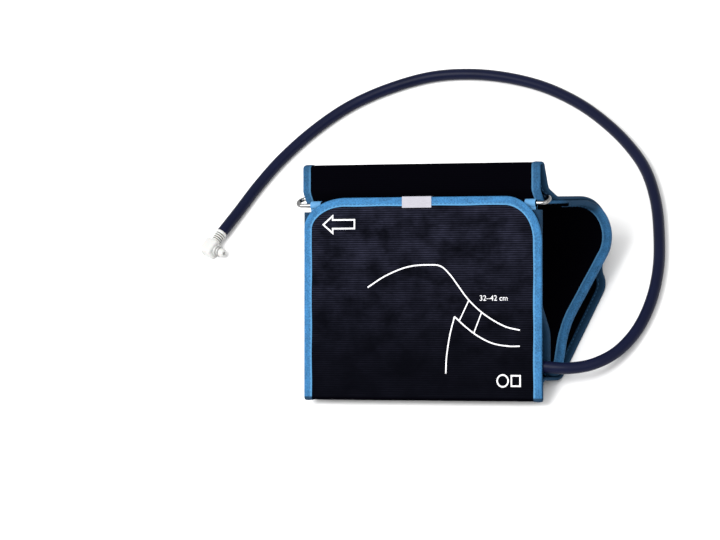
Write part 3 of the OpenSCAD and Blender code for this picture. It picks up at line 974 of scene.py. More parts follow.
def band_tape_finish():
    """Blue tape of the loop's edges, darkened all over as painted shade, and painted nearly navy as shadow behind the
    flap and where the loop ends at the seam.
    """
    end = float(outline().wrap.along[-1]) * MM
    # painted shadow behind the flap and at the seam; the 0.78 below darkens the whole tape as painted shade
    shaded_spans = ((-1, 0.104), (end - 0.024, end + 1))
    return woven_tape("band_tape_blue", palette("tape"), palette("tape_edge"), 0.78, shaded_spans)


def tail_tape_finish():
    """Blue tape of the tail's edges, darkened all over as painted shade, and painted nearly navy as shadow at the seam
    and from the fold above the ring on.
    """
    o = outline()
    fold = float(o.tail.along[o.fold_at]) * MM
    # painted shadow at the seam and from the fold on; the 0.62 below darkens the whole tape as painted shade
    shaded_spans = ((-1, 0.004), (fold - 0.002, fold + 1))
    return woven_tape("tail_tape_blue", palette("tape"), palette("tape_edge"), 0.62, shaded_spans)


def hem_tape_finish():
    """Pale blue tape at the hem's ends."""
    return woven_tape("hem_tape_blue", palette("hem_tape"), (0.11, 0.29, 0.52))


def thread():
    """Blue sewing thread."""
    return grained(
        "thread_blue", 4200.0, (0.015, 0.06, 0.14), (0.05, 0.15, 0.29), 0.0001, detail=1.0,
        Roughness=0.6, Specular_IOR_Level=0.15,
    )


def black_thread():
    """Black sewing thread."""
    return grained(
        "thread_black", 4200.0, (0.004, 0.004, 0.006), (0.02, 0.02, 0.025), 0.0001, detail=1.0,
        Roughness=0.6, Specular_IOR_Level=0.1,
    )


def chrome():
    """Plated wire with faint drawing marks."""
    made = Finish("chrome_wire", Metallic=1.0)
    spot = made.place()
    marks = made.noise(made.scaled(spot, (60, 2600, 2600)), 1.0, 2.0)
    wear = made.noise(spot, 180.0, 3.0)
    made.paint(Base_Color=made.mix(wear, (0.20, 0.20, 0.20), (0.34, 0.34, 0.34)))
    made.paint(Roughness=0.08 + wear * 0.14)
    return made.bump(marks, 0.00003)


def hose_rubber():
    """Dark navy rubber with a soft shine and fine mould texture."""
    made = Finish("hose_rubber", Specular_IOR_Level=0.09)
    spot = made.place()
    dust = made.noise(spot, 900.0, 3.0, 0.6)
    cloud = made.noise(spot, 60.0, 2.0)
    base = palette("hose")
    made.paint(Base_Color=made.mix(cloud, shaded(base, 0.8), shaded(base, 1.35)))
    made.paint(Roughness=0.30 + dust * 0.16)
    return made.bump(dust, 0.00003)


def white_plastic():
    """Moulded white plastic, with painted shade in its grooves."""
    made = Finish(
        "plug_plastic", Specular_IOR_Level=0.5, Subsurface_Weight=0.05, Subsurface_Scale=0.001
    )
    spot = made.place()
    grain = made.noise(spot, 1500.0, 2.0)
    cloud = made.noise(spot, 120.0, 2.0)
    groove = made.node("ShaderNodeAttribute", {"attribute_name": "groove"}, {}, "Fac")
    base = palette("plug")
    outside_grooves = made.mix(cloud, shaded(base, 0.62), shaded(base, 0.70))
    # painted shade: the grooves darkened towards a dark olive grey
    made.paint(Base_Color=made.mix(groove, outside_grooves, (0.07, 0.07, 0.05)))
    made.paint(Roughness=0.30 + grain * 0.10)
    return made.bump(grain, 0.00002)


def dark_plastic():
    """Dark moulded plastic of the port."""
    return grained(
        "port_plastic", 1600.0, (0.012, 0.013, 0.018), (0.022, 0.023, 0.030), 0.00003,
        Roughness=0.5, Specular_IOR_Level=0.1,
    )


def seal_rubber():
    """Grey rubber of the O-rings."""
    return grained(
        "seal_rubber", 2400.0, (0.20, 0.20, 0.20), (0.32, 0.32, 0.31), 0.00002, Roughness=0.45
    )


def clear_plastic():
    """Milky plastic of the stay."""
    return grained(
        "stay_plastic", 500.0, (0.50, 0.53, 0.56), (0.62, 0.65, 0.68), 0.00004, Roughness=0.4
    )


def bladder_film():
    """Grey film with an embossed grain."""
    return grained(
        "bladder_film", 1100.0, (0.10, 0.12, 0.15), (0.17, 0.19, 0.23), 0.0001, Roughness=0.42
    )


def white_print():
    """White transfer print, thin in places where the cloth's ribs show."""
    made = Finish("white_print", Roughness=0.55)
    thin = made.noise(made.place(), 1300.0, 2.0).above(0.25, 0.6)
    made.paint(Base_Color=made.mix(thin, shaded(palette("print"), 0.62), palette("print")))
    return made.bump(thin, 0.00004)


def silver_label():
    """Silver satin of the folded label."""
    made = Finish("silver_label", Roughness=0.5, Specular_IOR_Level=0.2)
    spot = made.place()
    yarn = made.noise(made.scaled(spot, (300, 3600, 3600)), 1.0, 2.0)
    crease = made.noise(spot, 220.0, 2.0)
    base = palette("label")
    made.paint(Base_Color=made.mix(yarn * 0.6 + crease * 0.4, shaded(base, 0.55), shaded(base, 0.8)))
    return made.bump(yarn + crease, 0.00008)


def hook_plastic():
    """Black nylon of the hooks."""
    return grained(
        "hook_nylon", 900.0, (0.006, 0.006, 0.007), (0.014, 0.014, 0.016), 0.00005,
        Roughness=0.5, Specular_IOR_Level=0.12,
    )


def pale_floor():
    """Plain pale table top."""
    return grained(
        "pale_floor", 8.0, (0.88, 0.88, 0.88), (0.90, 0.90, 0.90), Roughness=0.9, Specular_IOR_Level=0.1
    )


MAKERS = {
    "face_cloth": face_cloth, "band_face": band_face, "velour": velour,
    "edge_tape": edge_tape_finish, "band_tape": band_tape_finish, "tail_tape": tail_tape_finish,
    "hem_tape": hem_tape_finish,
    "thread": thread, "black_thread": black_thread, "chrome": chrome, "hose": hose_rubber,
    "plug": white_plastic, "port": dark_plastic, "seal": seal_rubber, "stay": clear_plastic,
    "bladder": bladder_film, "print": white_print, "label": silver_label, "hooks": hook_plastic,
    "floor": pale_floor,
}


def dress(piece, name, slot, body=None, replaces=()):
    """Gives a piece its material and slot, the body it rides on and the solids it stands for."""
    piece.data.materials.clear()
    piece.data.materials.append(finish(name))
    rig.slot(piece, slot)
    if body:
        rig.ride(piece, body)
    if replaces:
        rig.replaces(piece, *replaces)
    return piece


# ---- shapes of the cloth parts, in millimetres ----

def ripple(x, s, scale=1.0):
    """Small steady waves of soft cloth, from -1 to 1."""
    x, s = np.asarray(x, float) / scale, np.asarray(s, float) / scale
    first = np.sin(x / 9.1 + 1.3 * np.sin(s / 23)) * np.sin(s / 12.7 + 0.7)
    second = np.sin(x / 4.3 + s / 6.1 + 2.1) * 0.35
    third = np.sin(x / 17.3 - s / 9.7 + 0.4) * 0.5
    return (first + second + third) / 1.85


def flap_corners(o):
    """Side, width and height of the flap's two corners."""
    left, right = o.mm["corner_left"], o.mm["corner_right"]
    return ((-1, left * 1.6, left * 1.05), (1, right * 0.95, right * 1.1))


def flap_top(o, x):
    """Height of the flap's end at x, with its two rounded corners."""
    x = np.asarray(x, float)
    top = np.full(x.shape, o.mm["flap_length"])
    for way, wide, high in flap_corners(o):
        into = np.clip(way * x - (o.half - wide), 0, wide) / wide
        top = np.minimum(top, o.mm["flap_length"] - high + high * np.sqrt(1 - into**2))
    return top


def fullness(inside, after=HELD_FLAT):
    """0 where the edge tape holds the cloth flat, rising to 1 further inside."""
    return ease((inside - after) / FULL_AFTER)


def flap_face(o, x, u):
    """Depth w of the flap's front cloth: it swells a little inside its edge tape."""
    inside = np.minimum(o.half - np.abs(x), flap_top(o, x) - u)
    swell = 0.34 * fullness(inside) + 0.10 * fullness(inside, 10) * ripple(x, u)
    return o.mm["tape_thickness"] - swell


def flap_rim(o, step=1.5):
    """Points (x, u) of the flap's bound edge from the lower left round to the lower right."""
    top = o.mm["flap_length"]
    points = [(-o.half, o.flap_start)]
    for way, wide, high in flap_corners(o):
        for a in np.linspace(0, math.pi / 2, 25)[:: -way]:
            points.append((way * (o.half - wide + wide * math.cos(a)), top - high + high * math.sin(a)))
    points.append((o.half, o.flap_start))
    return spaced(points, step)


def rim_frames(points):
    """The rim's points, their inward directions and their distances along it."""
    line = Path(points, lambda x, u: 0)
    return points, -line.out, line.along


def tape_section(high, low, width, tape, crown):
    """Section of a folded tape as closed (inward, outward) points, and each point's place across."""
    half = (high - low) / 2
    mid = (high + low) / 2
    radius = min(half, 1.3)

    def side(shift):
        line = []
        for a in np.linspace(width, radius, 10):
            dip = 0.16 * math.exp(-(((a - width + STITCH_INSET) / 0.42) ** 2))
            swell = crown * math.sin(math.pi * np.clip((a - 0.2) / width, 0, 1)) - dip
            line.append((a, half + swell - shift))
        turn = radius - shift
        line += [
            (radius - turn * math.sin(t), half - radius + turn * math.cos(t) + crown * 0.2 * math.cos(t))
            for t in np.radians([20, 40, 60, 80])
        ]
        return line

    outer, inner = side(0.0), side(tape)
    outer = outer + [(a, -b) for a, b in reversed(outer)]
    inner = inner + [(a, -b) for a, b in reversed(inner)]
    across = np.linspace(0, 1, len(outer))
    loop = [(a, mid + b) for a, b in outer] + [(a, mid + b) for a, b in reversed(inner)]
    return np.array(loop), np.concatenate([across, across[::-1]])


def band_tape(o, name, path, way, high, low):
    """Edge tape of the band on one side: way is -1 for the left and 1 for the right."""
    section, across = tape_section(high, low, TAPE_SHOWN, o.mm["tape_thickness"], 0.14)
    xs = way * (o.half - section[:, 0])
    wave = 1 + 0.02 * np.sin(path.along / 3.1)[:, None]
    rings = o.layer(path, xs, section[None, :, 1] * wave)
    return swept(name, rings, uv_grid(across, path.along[:, None] * MM), sharp=60)


def tape_rows(o, path, high, low, first=0, last=None):
    """Lines that the stitches of the band's edge tapes follow, on both faces and both sides."""
    part = path.part(first, path.along[-1] if last is None else last)
    place = o.half - (TAPE_SHOWN - STITCH_INSET)
    rows = []
    for way in (-1, 1):
        for offset in (high + 0.02, low - 0.02):
            grid = o.layer(part, np.array([way * place]), np.full((len(part.points), 1), offset))
            rows.append(grid[:, 0])
    return rows


def cloth_columns(reach, count=61):
    """Places across the band, closer together near its edges."""
    t = np.linspace(-1, 1, count)
    return reach * np.sin(t * math.pi / 2) * 0.35 + reach * t * 0.65


def band_cloth(o, name, path, high, low, swell, face):
    """One cloth of the band between two offsets. swell is how far its open face stands out between
    the tapes; face is 1 when the outer face is open and -1 when the inner one is."""
    reach = o.half - o.mm["tape_thickness"] - 0.15
    xs = cloth_columns(reach)
    inside = fullness(o.half - np.abs(xs))[None, :]
    along = path.along[:, None]
    puff = inside * swell * (1 + 0.35 * ripple(xs[None, :], along))
    flat = np.ones_like(puff)
    top = flat * high + (puff if face > 0 else 0)
    bottom = flat * low - (puff if face < 0 else 0)
    uv = uv_grid(xs * MM, along * MM)
    return closed_sheet(name, o.layer(path, xs, top), o.layer(path, xs, bottom), uv)


def fold_ends(o):
    """Where the blend across the flap's fold starts and ends, in the frame."""
    start = o.place(0, 1, o.mm["flap_thickness"] + 0.15)
    end = o.place(0, 1, o.mm["flap_thickness"])
    return {"start": tuple(map(float, start)), "end": tuple(map(float, end))}


def stroke(o, points, width, closed=False, lift=0.06):
    """Points and faces of a printed line on the flap's face, in metres."""
    pts = np.array(points, float)
    before = np.roll(pts, 1, axis=0)
    after = np.roll(pts, -1, axis=0)
    if not closed:
        before[0], after[-1] = 2 * pts[0] - pts[1], 2 * pts[-1] - pts[-2]
    a = (pts - before) / np.linalg.norm(pts - before, axis=1)[:, None]
    b = (after - pts) / np.linalg.norm(after - pts, axis=1)[:, None]
    mid = (a + b) / np.linalg.norm(a + b, axis=1)[:, None]
    reach = width / 2 / np.maximum(0.35, (mid * a).sum(axis=1))
    out = np.stack([-mid[:, 1], mid[:, 0]], axis=1) * reach[:, None]
    verts = []
    for rim, depth in ((pts + out, lift), (pts - out, lift), (pts - out, -0.1), (pts + out, -0.1)):
        face = flap_face(o, rim[:, 0], rim[:, 1]) - depth
        verts += [o.place(x, u, w) for (x, u), w in zip(rim, face)]
    n = len(pts)
    links = [(i, (i + 1) % n) for i in range(n if closed else n - 1)]
    faces = [
        (k * n + i, k * n + j, (k + 1) % 4 * n + j, (k + 1) % 4 * n + i)
        for i, j in links
        for k in range(4)
    ]
    if not closed:
        faces += [(0, n, 2 * n, 3 * n), (4 * n - 1, 3 * n - 1, 2 * n - 1, n - 1)]
    return verts, faces


def flowing(points, count=6):
    """A smooth line through points."""
    pts = np.array(points, float)
    pts = np.vstack([2 * pts[0] - pts[1], pts, 2 * pts[-1] - pts[-2]])
    out = []
    for p0, p1, p2, p3 in zip(pts, pts[1:], pts[2:], pts[3:]):
        for s in np.arange(count) / count:
            out.append(0.5 * (2 * p1 + (p2 - p0) * s + (2 * p0 - 5 * p1 + 4 * p2 - p3) * s * s
                              + (3 * p1 - p0 - 3 * p2 + p3) * s**3))
    return np.array(out + [pts[-2]])


# ---- pieces ----


def build_stage(context):
    """The table, the soft light and the camera in front of the flap."""
    o = outline()
    scene = context.scene
    reach, below = 3, 0.0001
    corners = [(-reach, -reach, 0), (reach, -reach, 0), (reach, reach, 0), (-reach, reach, 0)]
    floor = new_piece("table_top", corners, [(0, 1, 2, 3)])
    floor.location.z = -below
    floor.data.materials.append(finish("floor"))
    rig.stage(floor)
    world = bpy.data.worlds.new("soft_light")
    world.use_nodes = True
    sky = world.node_tree.nodes["Background"]
    sky.inputs["Color"].default_value = (1.0, 1.0, 1.0, 1)
    sky.inputs["Strength"].default_value = 0.78
    scene.world = world
    scene.view_settings.view_transform = "Standard"
    middle = Vector((0, 0.02, 0.03))
    for name, spot, size, power in (
        ("key", (-0.45, -0.35, 1.2), 0.9, 20.0),
        ("fill", (0.7, -0.5, 1.0), 1.0, 5.0),
    ):
        lamp = bpy.data.lights.new(name, "AREA")
        lamp.size, lamp.energy = size, power
        light = bpy.data.objects.new(name, lamp)
        light.location = Vector(spot)
        light.rotation_euler = (middle - light.location).to_track_quat("-Z", "Y").to_euler()
        scene.collection.objects.link(light)
    yaw, tilt, roll = math.radians(23.9), math.radians(35.6), math.radians(-0.25)
    distance, field, sensor = 2.4, 0.421, 36.0
    target = Vector(map(float, o.place(-39.4, 76, 0)))
    face = Vector((0, -math.sin(tilt), math.cos(tilt)))
    up = Vector((0, math.cos(tilt), math.sin(tilt)))
    back = face * math.cos(yaw) + Vector((1, 0, 0)) * math.sin(yaw)
    side = up.cross(back)
    right = side * math.cos(roll) + up * math.sin(roll)
    up = up * math.cos(roll) - side * math.sin(roll)
    target += right * 0.0005 + up * 0.0002
    camera = bpy.data.objects.new("camera", bpy.data.cameras.new("camera"))
    camera.data.sensor_width = sensor
    camera.data.lens = sensor * distance / field
    camera.data.clip_end = 20
    turn = Matrix((right, up, back)).transposed().to_4x4()
    camera.matrix_world = Matrix.Translation(target + back * distance) @ turn
    scene.collection.objects.link(camera)
    scene.camera = camera


def build_hose(context):
    """The air hose along its route, from the port under the flap to the plug."""
    o = outline()
    spigot_end, port_u = 16, 27
    start = o.place(spigot_end, port_u, o.hose_w)
    points = [start] + [np.array(p) * MM for p in ROUTE]
    line = flowing(points, 8)
    curve = bpy.data.curves.new("air_hose", "CURVE")
    curve.dimensions = "3D"
    curve.bevel_depth = o.mm["hose"] / 2 * MM
    curve.bevel_resolution = 8
    curve.use_fill_caps = True
    spline = curve.splines.new("POLY")
    spline.points.add(len(line) - 1)
    for point, co in zip(spline.points, line):
        point.co = (*map(float, co), 1)
    spline.use_smooth = True
    hose = bpy.data.objects.new("air_hose", curve)
    context.scene.collection.objects.link(hose)
    dress(hose, "hose", "hose_rubber", "cuff", ["hose"])
    run = float(np.linalg.norm(np.diff(line, axis=0), axis=1).sum())
    build_plug(o)
    plug = [bpy.data.objects["plug_collar"], bpy.data.objects["plug_body"]]
    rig.cord(
        hose, exit=tuple(map(float, start)), length=run, diameter=o.mm["hose"] * MM, far_end="plug",
        stiffness="medium", lay="loose", with_pieces=plug + [frame["nodes"]["nozzle_o_rings"]],
    )


def plug_place(points, side=False):
    """Points of the plug, given from the hose's end in millimetres, in the object's frame. With side
    they are the nozzle's own, which points to the plug's left."""
    end = Vector(ROUTE[-1])
    turn = Matrix.Rotation(PLUG_HEADING, 3, "Z")
    if side:
        quarter = Matrix.Rotation(math.pi / 2, 3, "Z")
        shift = Vector((NOZZLE_AT, 0, 0))
        return [(end + turn @ (shift + quarter @ Vector(p))) * MM for p in points]
    return [(end + turn @ Vector(p)) * MM for p in points]


def build_plug(o):
    """The white collar on the hose, and the elbow block with its nozzle."""
    hose_r = o.mm["hose"] / 2
    outside = [(0.0, hose_r - 0.15), (0.15, hose_r), (1.55, hose_r + 0.02), (1.75, hose_r - 0.12)]
    for start in (2.35, 3.75, 5.15):
        crest = hose_r - 0.12 * (start - 2.35)
        outside += [(start - 0.45, hose_r - 0.75), (start - 0.1, hose_r - 0.8), (start + 0.05, crest - 0.2),
                    (start + 0.25, crest), (start + 0.55, crest), (start + 0.75, crest - 0.2)]
    outside += [(FERRULE - 0.25, hose_r - 0.75), (FERRULE, hose_r - 1.0)]
    profile = [(0.0, 1.95)] + outside + [(FERRULE, 1.95)]
    verts, faces = turned(profile, 72)
    collar = new_piece("plug_collar", plug_place(verts), faces, sharp=50)
    # painted shade: darker where the collar's surface dips into its grooves
    groove = collar.data.attributes.new("groove", "FLOAT", "POINT")
    radii = np.array([math.hypot(v[1], v[2]) for v in verts])
    painted_shade = ease((hose_r - 0.35 - radii) / 0.4) * (radii > 2)
    groove.data.foreach_set("value", painted_shade.astype(np.float32))
    dress(collar, "plug", "plug_plastic", "cuff", ["plug_ferrule"])

    side, long = o.mm["elbow_side"], o.mm["elbow_length"]
    block = bmesh.new()
    bmesh.ops.create_cube(block, size=1)
    for v in block.verts:
        taper = 0.96 if v.co.x > 0 else 1.0
        ahead = v.co.x * long + FERRULE + NECK + long / 2
        v.co = Vector((ahead, v.co.y * side * taper, v.co.z * side * taper))
    bmesh.ops.bevel(block, geom=block.edges[:], offset=1.5, segments=6, profile=0.5, affect="EDGES")
    far = max(block.faces, key=lambda f: f.calc_center_median().x)
    bmesh.ops.inset_region(block, faces=[far], thickness=0.35)
    bmesh.ops.translate(block, verts=far.verts, vec=(-0.35, 0, 0))
    block.verts.ensure_lookup_table()
    polygons = [[v.index for v in f.verts] for f in block.faces]
    parts = [(plug_place([v.co for v in block.verts]), polygons)]
    block.free()
    neck = [(0.2, 1.2), (0.2, 1.9), (FERRULE, 1.9), (FERRULE, 2.75), (FERRULE + 0.7, 2.6),
            (FERRULE + NECK + 0.6, 2.9), (FERRULE + NECK + 0.6, 1.2)]
    verts, faces = turned(neck, 48)
    parts.append((plug_place(verts), faces))
    r, bore, start = o.mm["nozzle"] / 2, o.mm["air_passage"] / 2, side / 2
    tip = start + o.mm["nozzle_length"]
    nozzle = [(start - 1, bore), (start - 1, r + 0.5), (start - 0.1, r + 0.5),
              (start + 0.25, r + 0.1), (start + 0.5, r)]
    for at in (1.4, 3.2):
        nozzle += [(start + at - 0.55, r), (start + at - 0.5, r - 0.45), (start + at + 0.5, r - 0.45),
                   (start + at + 0.55, r)]
    nozzle += [(tip - 0.6, r), (tip - 0.2, r - 0.15), (tip, r - 0.5), (tip, bore + 0.1), (tip - 0.2, bore)]
    verts, faces = turned(nozzle, 64)
    parts.append((plug_place(verts, side=True), faces))
    body = merged("plug_body", parts, sharp=45)
    body.data.attributes.new("groove", "FLOAT", "POINT")
    dress(body, "plug", "plug_plastic", "cuff", ["plug_elbow"])


def build_wrap(context):
    """The loop: its outer and inner cloth and the bladder between them."""
    o = outline()
    tape, thick = o.mm["tape_thickness"], o.mm["wrap_thickness"]
    outer = band_cloth(o, "wrap_outer_cloth", o.wrap, -tape, -tape - 0.8, 0.08, 1)
    dress(outer, "velour", "outer_velour", "cuff", ["wrap_shell"])
    inner = band_cloth(o, "wrap_inner_cloth", o.wrap, 0.3 - thick + 0.8, tape - thick, 0.45, -1)
    dress(inner, "band_face", "lining_cloth", "cuff", ["wrap_lining"])
    run = o.wrap.part(4, o.wrap.along[-1] - 4)
    xs = cloth_columns(o.half - 11, 41)
    edge = ease((o.half - 11 - np.abs(xs)) / 5)[None, :] * np.ones((len(run.points), 1))
    high, low = -1.75 - 0.4 * (1 - edge), -2.65 + 0.4 * (1 - edge)
    uv = uv_grid(xs * MM, run.along[:, None] * MM)
    bladder = closed_sheet("air_bladder", o.layer(run, xs, high), o.layer(run, xs, low), uv)
    dress(bladder, "bladder", "bladder_film", "cuff", ["wrap_bladder"])
    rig.padded(bladder, fill=0.05)


def build_tail(context):
    """The band past the ring: two cloths that run on round the fold into the flap."""
    o = outline()
    tape, half_t = o.mm["tape_thickness"], o.mm["tail_thickness"] / 2
    outer = band_cloth(o, "tail_outer_cloth", o.tail, half_t - tape, 0.0, 0.06, 1)
    dress(outer, "velour", "outer_velour", None, ["tail_shell"])
    inner = band_cloth(o, "tail_inner_cloth", o.tail, 0.0, tape - half_t, 0.10, -1)
    dress(inner, "band_face", "lining_cloth", None, ["tail_lining"])
    for piece in (outer, inner):
        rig.blend(piece, "cuff", "flap", **fold_ends(o))


def build_flap(context):
    """The flap's two cloths, cut to its rounded end."""
    o = outline()
    tape, thick = o.mm["tape_thickness"], o.mm["flap_thickness"]
    reach = o.half - tape - 0.1
    xs = cloth_columns(reach, 121)
    rows = np.linspace(0, 1, 111)[:, None]
    top = flap_top(o, xs)[None, :] - 0.5
    u = o.flap_start + (top - o.flap_start) * rows
    x = np.broadcast_to(xs[None, :], u.shape)
    uv = uv_grid(x * MM, (o.tail.along[-1] + u) * MM)
    front_low, back_high = thick / 2 - 0.02, thick / 2 + 0.02
    front = closed_sheet(
        "flap_face_cloth", o.place(x, u, flap_face(o, x, u)), o.place(x, u, front_low), uv
    )
    dress(front, "face_cloth", "lining_cloth", "flap", ["flap_front"])
    inside = np.minimum(o.half - np.abs(x), top - u)
    behind = thick - tape + 0.12 * fullness(inside) * (1 + 0.4 * ripple(x, u))
    back = closed_sheet(
        "flap_under_cloth", o.place(x, u, back_high), o.place(x, u, behind), uv
    )
    dress(back, "velour", "outer_velour", "flap", ["flap_back"])


def build_tapes(context):
    """Edge tapes of the loop and of the tail."""
    o = outline()
    half_t = o.mm["tail_thickness"] / 2
    for way, name in ((-1, "left"), (1, "right")):
        loop = band_tape(o, f"wrap_edge_{name}", o.wrap, way, 0, -o.mm["wrap_thickness"])
        dress(loop, "band_tape", "binding_tape", "cuff", [f"wrap_binding_{name}"])
        tail = band_tape(o, f"tail_edge_{name}", o.tail, way, half_t, -half_t)
        dress(tail, "tail_tape", "binding_tape", None, [f"tail_binding_{name}"])
        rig.blend(tail, "cuff", "flap", **fold_ends(o))


def build_flap_tape(context):
    """Edge tape of the flap, on its three free edges."""
    o = outline()
    thick = o.mm["flap_thickness"]
    points, inward, along = rim_frames(flap_rim(o, 1.2))
    section, across = tape_section(thick / 2, -thick / 2, TAPE_SHOWN, o.mm["tape_thickness"], 0.16)
    pucker = 1 + 0.03 * np.sin(along / 1.9) + 0.03 * np.sin(along / 7.7)
    a, b = section[None, :, 0], section[None, :, 1] * pucker[:, None]
    edge = 0.12 * np.sin(along / 5.3)[:, None] * (a / TAPE_SHOWN)
    x = points[:, :1] + inward[:, :1] * (a + edge)
    u = points[:, 1:] + inward[:, 1:] * (a + edge)
    uv = uv_grid(across, along[:, None] * MM)
    tape = swept("flap_edge_tape", o.place(x, u, thick / 2 - b), uv, sharp=60)
    dress(tape, "edge_tape", "binding_tape", "flap", ["flap_binding"])


def build_stitches(context):
    """Rows of stitches along the band's and the flap's edge tapes and round the hook patch."""
    o = outline()
    sizes = context.scene.cuff_sizes
    tree = stitch_tree()
    thick = o.mm["flap_thickness"]
    half_t = o.mm["tail_thickness"] / 2
    band = tape_rows(o, o.wrap, 0.02, -o.mm["wrap_thickness"] - 0.02)
    before_fold = o.tail.along[-1] - 14
    band += tape_rows(o, o.tail, half_t + 0.02, -half_t - 0.02, 0, before_fold)
    points, inward, _ = rim_frames(flap_rim(o, 1.0))
    row = points + inward * (TAPE_SHOWN - STITCH_INSET)
    rim = [o.place(row[:, 0], row[:, 1], -0.03), o.place(row[:, 0], row[:, 1], thick + 0.03)]
    inset = 1
    low, high = patch_rows(o)
    reach, low, high = o.mm["hook_length"] / 2 - inset, low + inset, high - inset
    box = [(-reach, low), (reach, low), (reach, high), (-reach, high), (-reach, low)]
    sewn = spaced(box, 2.0)
    patch = [o.place(sewn[:, 0], sewn[:, 1], thick + 0.25)]
    for name, lines, body, thread_name, slot in (
        ("band_stitches", band, "cuff", "thread", "binding_tape"),
        ("flap_stitches", rim, "flap", "thread", "binding_tape"),
        ("hook_patch_stitches", patch, "flap", "black_thread", "hook_cloth"),
    ):
        source = row_curve(name + "_rows", lines)
        piece = through_nodes(
            source, name, tree, Pitch=sizes.stitch_pitch, Length=STITCH_LENGTH, Thread=STITCH_THREAD,
            Material=finish(thread_name),
        )
        dress(piece, thread_name, slot, body)


def patch_rows(o):
    """Lower and upper edge of the hook patch, along the flap."""
    high = o.mm["flap_length"] - o.mm["tape_width"] - 8
    return high - o.mm["hook_width"], high


def build_hooks(context):
    """The hook patch under the flap: its backing and its field of hooks."""
    o = outline()
    sizes = context.scene.cuff_sizes
    low, high = patch_rows(o)
    thick = o.mm["flap_thickness"] - o.mm["tape_thickness"]
    half = o.mm["hook_length"] / 2
    xs, us = np.linspace(-half, half, 60), np.linspace(low, high, 24)
    u, x = np.meshgrid(us, xs, indexing="ij")
    uv = uv_grid(x * MM, u * MM)
    rim = np.minimum(half - np.abs(x), np.minimum(u - low, high - u))
    top = thick + 0.42 * ease(rim / 0.6 + 0.35) + 0.03 * ripple(x, u, 0.5)
    backing = closed_sheet("hook_patch_backing", o.place(x, u, thick - 0.05), o.place(x, u, top), uv)
    dress(backing, "hooks", "hook_cloth", "flap", ["flap_hook_patch"])
    field = row_curve("hook_field", [])
    pitch = sizes.hook_pitch / MM
    hooks = through_nodes(
        field, "hook_patch_hooks", hook_tree(), Length=(2 * half - 5) * MM, Width=(high - low - 5) * MM,
        Columns=int((2 * half - 5) / pitch), Rows=int((high - low - 5) / pitch), Height=0.00042, Seed=7,
        Material=finish("hooks"),
    )
    middle = (low + high) / 2
    flat = np.array([v.co for v in hooks.data.vertices], float) / MM
    placed = o.place(flat[:, 0], flat[:, 1] + middle, flat[:, 2] + thick + 0.38)
    hooks.data.vertices.foreach_set("co", placed.astype(np.float32).ravel())
    hooks.data.flip_normals()
    dress(hooks, "hooks", "hook_cloth", "flap")
    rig.sheet(backing, flat=(2 * half * MM, (high - low) * MM), held="laid", rests_on=["flap_under_cloth"],
             with_pieces=[hooks])


def build_label(context):
    """The small silver label folded over the flap's end."""
    o = outline()
    top, thick = o.mm["flap_length"], o.mm["flap_thickness"]
    drop, half, cloth = 6.2, 9.25, 0.2
    mid, radius = thick / 2, thick / 2 + 0.32
    arch = [
        (top + radius * math.sin(a) * 0.35 + 0.05, mid - radius * math.cos(a))
        for a in np.radians(np.arange(0, 181, 20))
    ]
    front = [(u, mid - radius) for u in np.linspace(top - drop, top - 0.5, 12)]
    line = np.array(front + arch + [(u, w + 2 * radius) for u, w in reversed(front)])
    path = Path(line, lambda u, w: 0)
    aside = 2.8
    xs = np.linspace(-half, half, 25) - aside
    curl = 0.10 * np.sin(xs / 3.1)[None, :] * ease((path.along[0] + 3 - path.along) / 3)[:, None]
    uv = uv_grid(xs * MM, path.along[:, None] * MM)
    outer = o.layer(path, xs, cloth + curl)
    inner = o.layer(path, xs, curl)
    label = closed_sheet("silver_label", outer, inner, uv)
    dress(label, "label", "label_cloth", "flap", ["label_tab"])
    flat = (2 * half * MM, float(path.along[-1]) * MM)
    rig.sheet(label, flat=flat, held="folded", rests_on=["flap_edge_tape"])


def build_hem(context):
    """The hem round the ring's lower bar, and the pale tapes at its ends."""
    o = outline()
    reach = o.bar[0] - o.hem_edge

    def loop(radius, leg, body_t, xs, name, crease):
        """Cloth that goes from the band round the bar and back."""
        turn = [(radius * math.cos(a), radius * math.sin(a)) for a in np.radians(np.arange(-150, 151, 10))]
        ends = [(-reach, -leg), (-reach * 0.7, -leg)]
        line = np.array(ends + turn + [(a, -b) for a, b in reversed(ends)]) + o.bar
        path = Path(line, lambda u, w: 0)
        wave = crease * ripple(xs[None, :], path.along[:, None] * 3, 0.5)
        outer = o.layer(path, xs, wave + body_t / 2)
        inner = o.layer(path, xs, np.full(wave.shape, -body_t / 2))
        return closed_sheet(name, outer, inner, uv_grid(path.along[:, None] * MM, xs * MM))

    cloth = o.mm["hem_cloth"]
    inner_r = o.hem_r - cloth / 2
    half, tape_half, aside = o.mm["hem_length"] / 2, 3.25, 1
    sleeve = loop(inner_r, 0.5, cloth, np.linspace(-half, half, 140) - aside, "hem_sleeve", 0.08)
    dress(sleeve, "velour", "outer_velour", "cuff", ["ring_hem"])
    flat = (2 * half * MM, 2 * MM * (reach + math.pi * inner_r / 2))
    pieces = []
    for way, name in ((-1, "left"), (1, "right")):
        xs = np.linspace(-tape_half, tape_half, 16) + way * (half - tape_half) - aside
        tape = loop(o.hem_r + 0.2, 1.05, 0.34, xs, f"hem_tape_{name}", 0.10)
        pieces.append(dress(tape, "hem_tape", "binding_tape", "cuff"))
    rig.replaces(pieces[0], "hem_end_tapes")
    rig.sheet(sleeve, flat=flat, held="folded", rests_on=["bar_ring"], with_pieces=pieces)


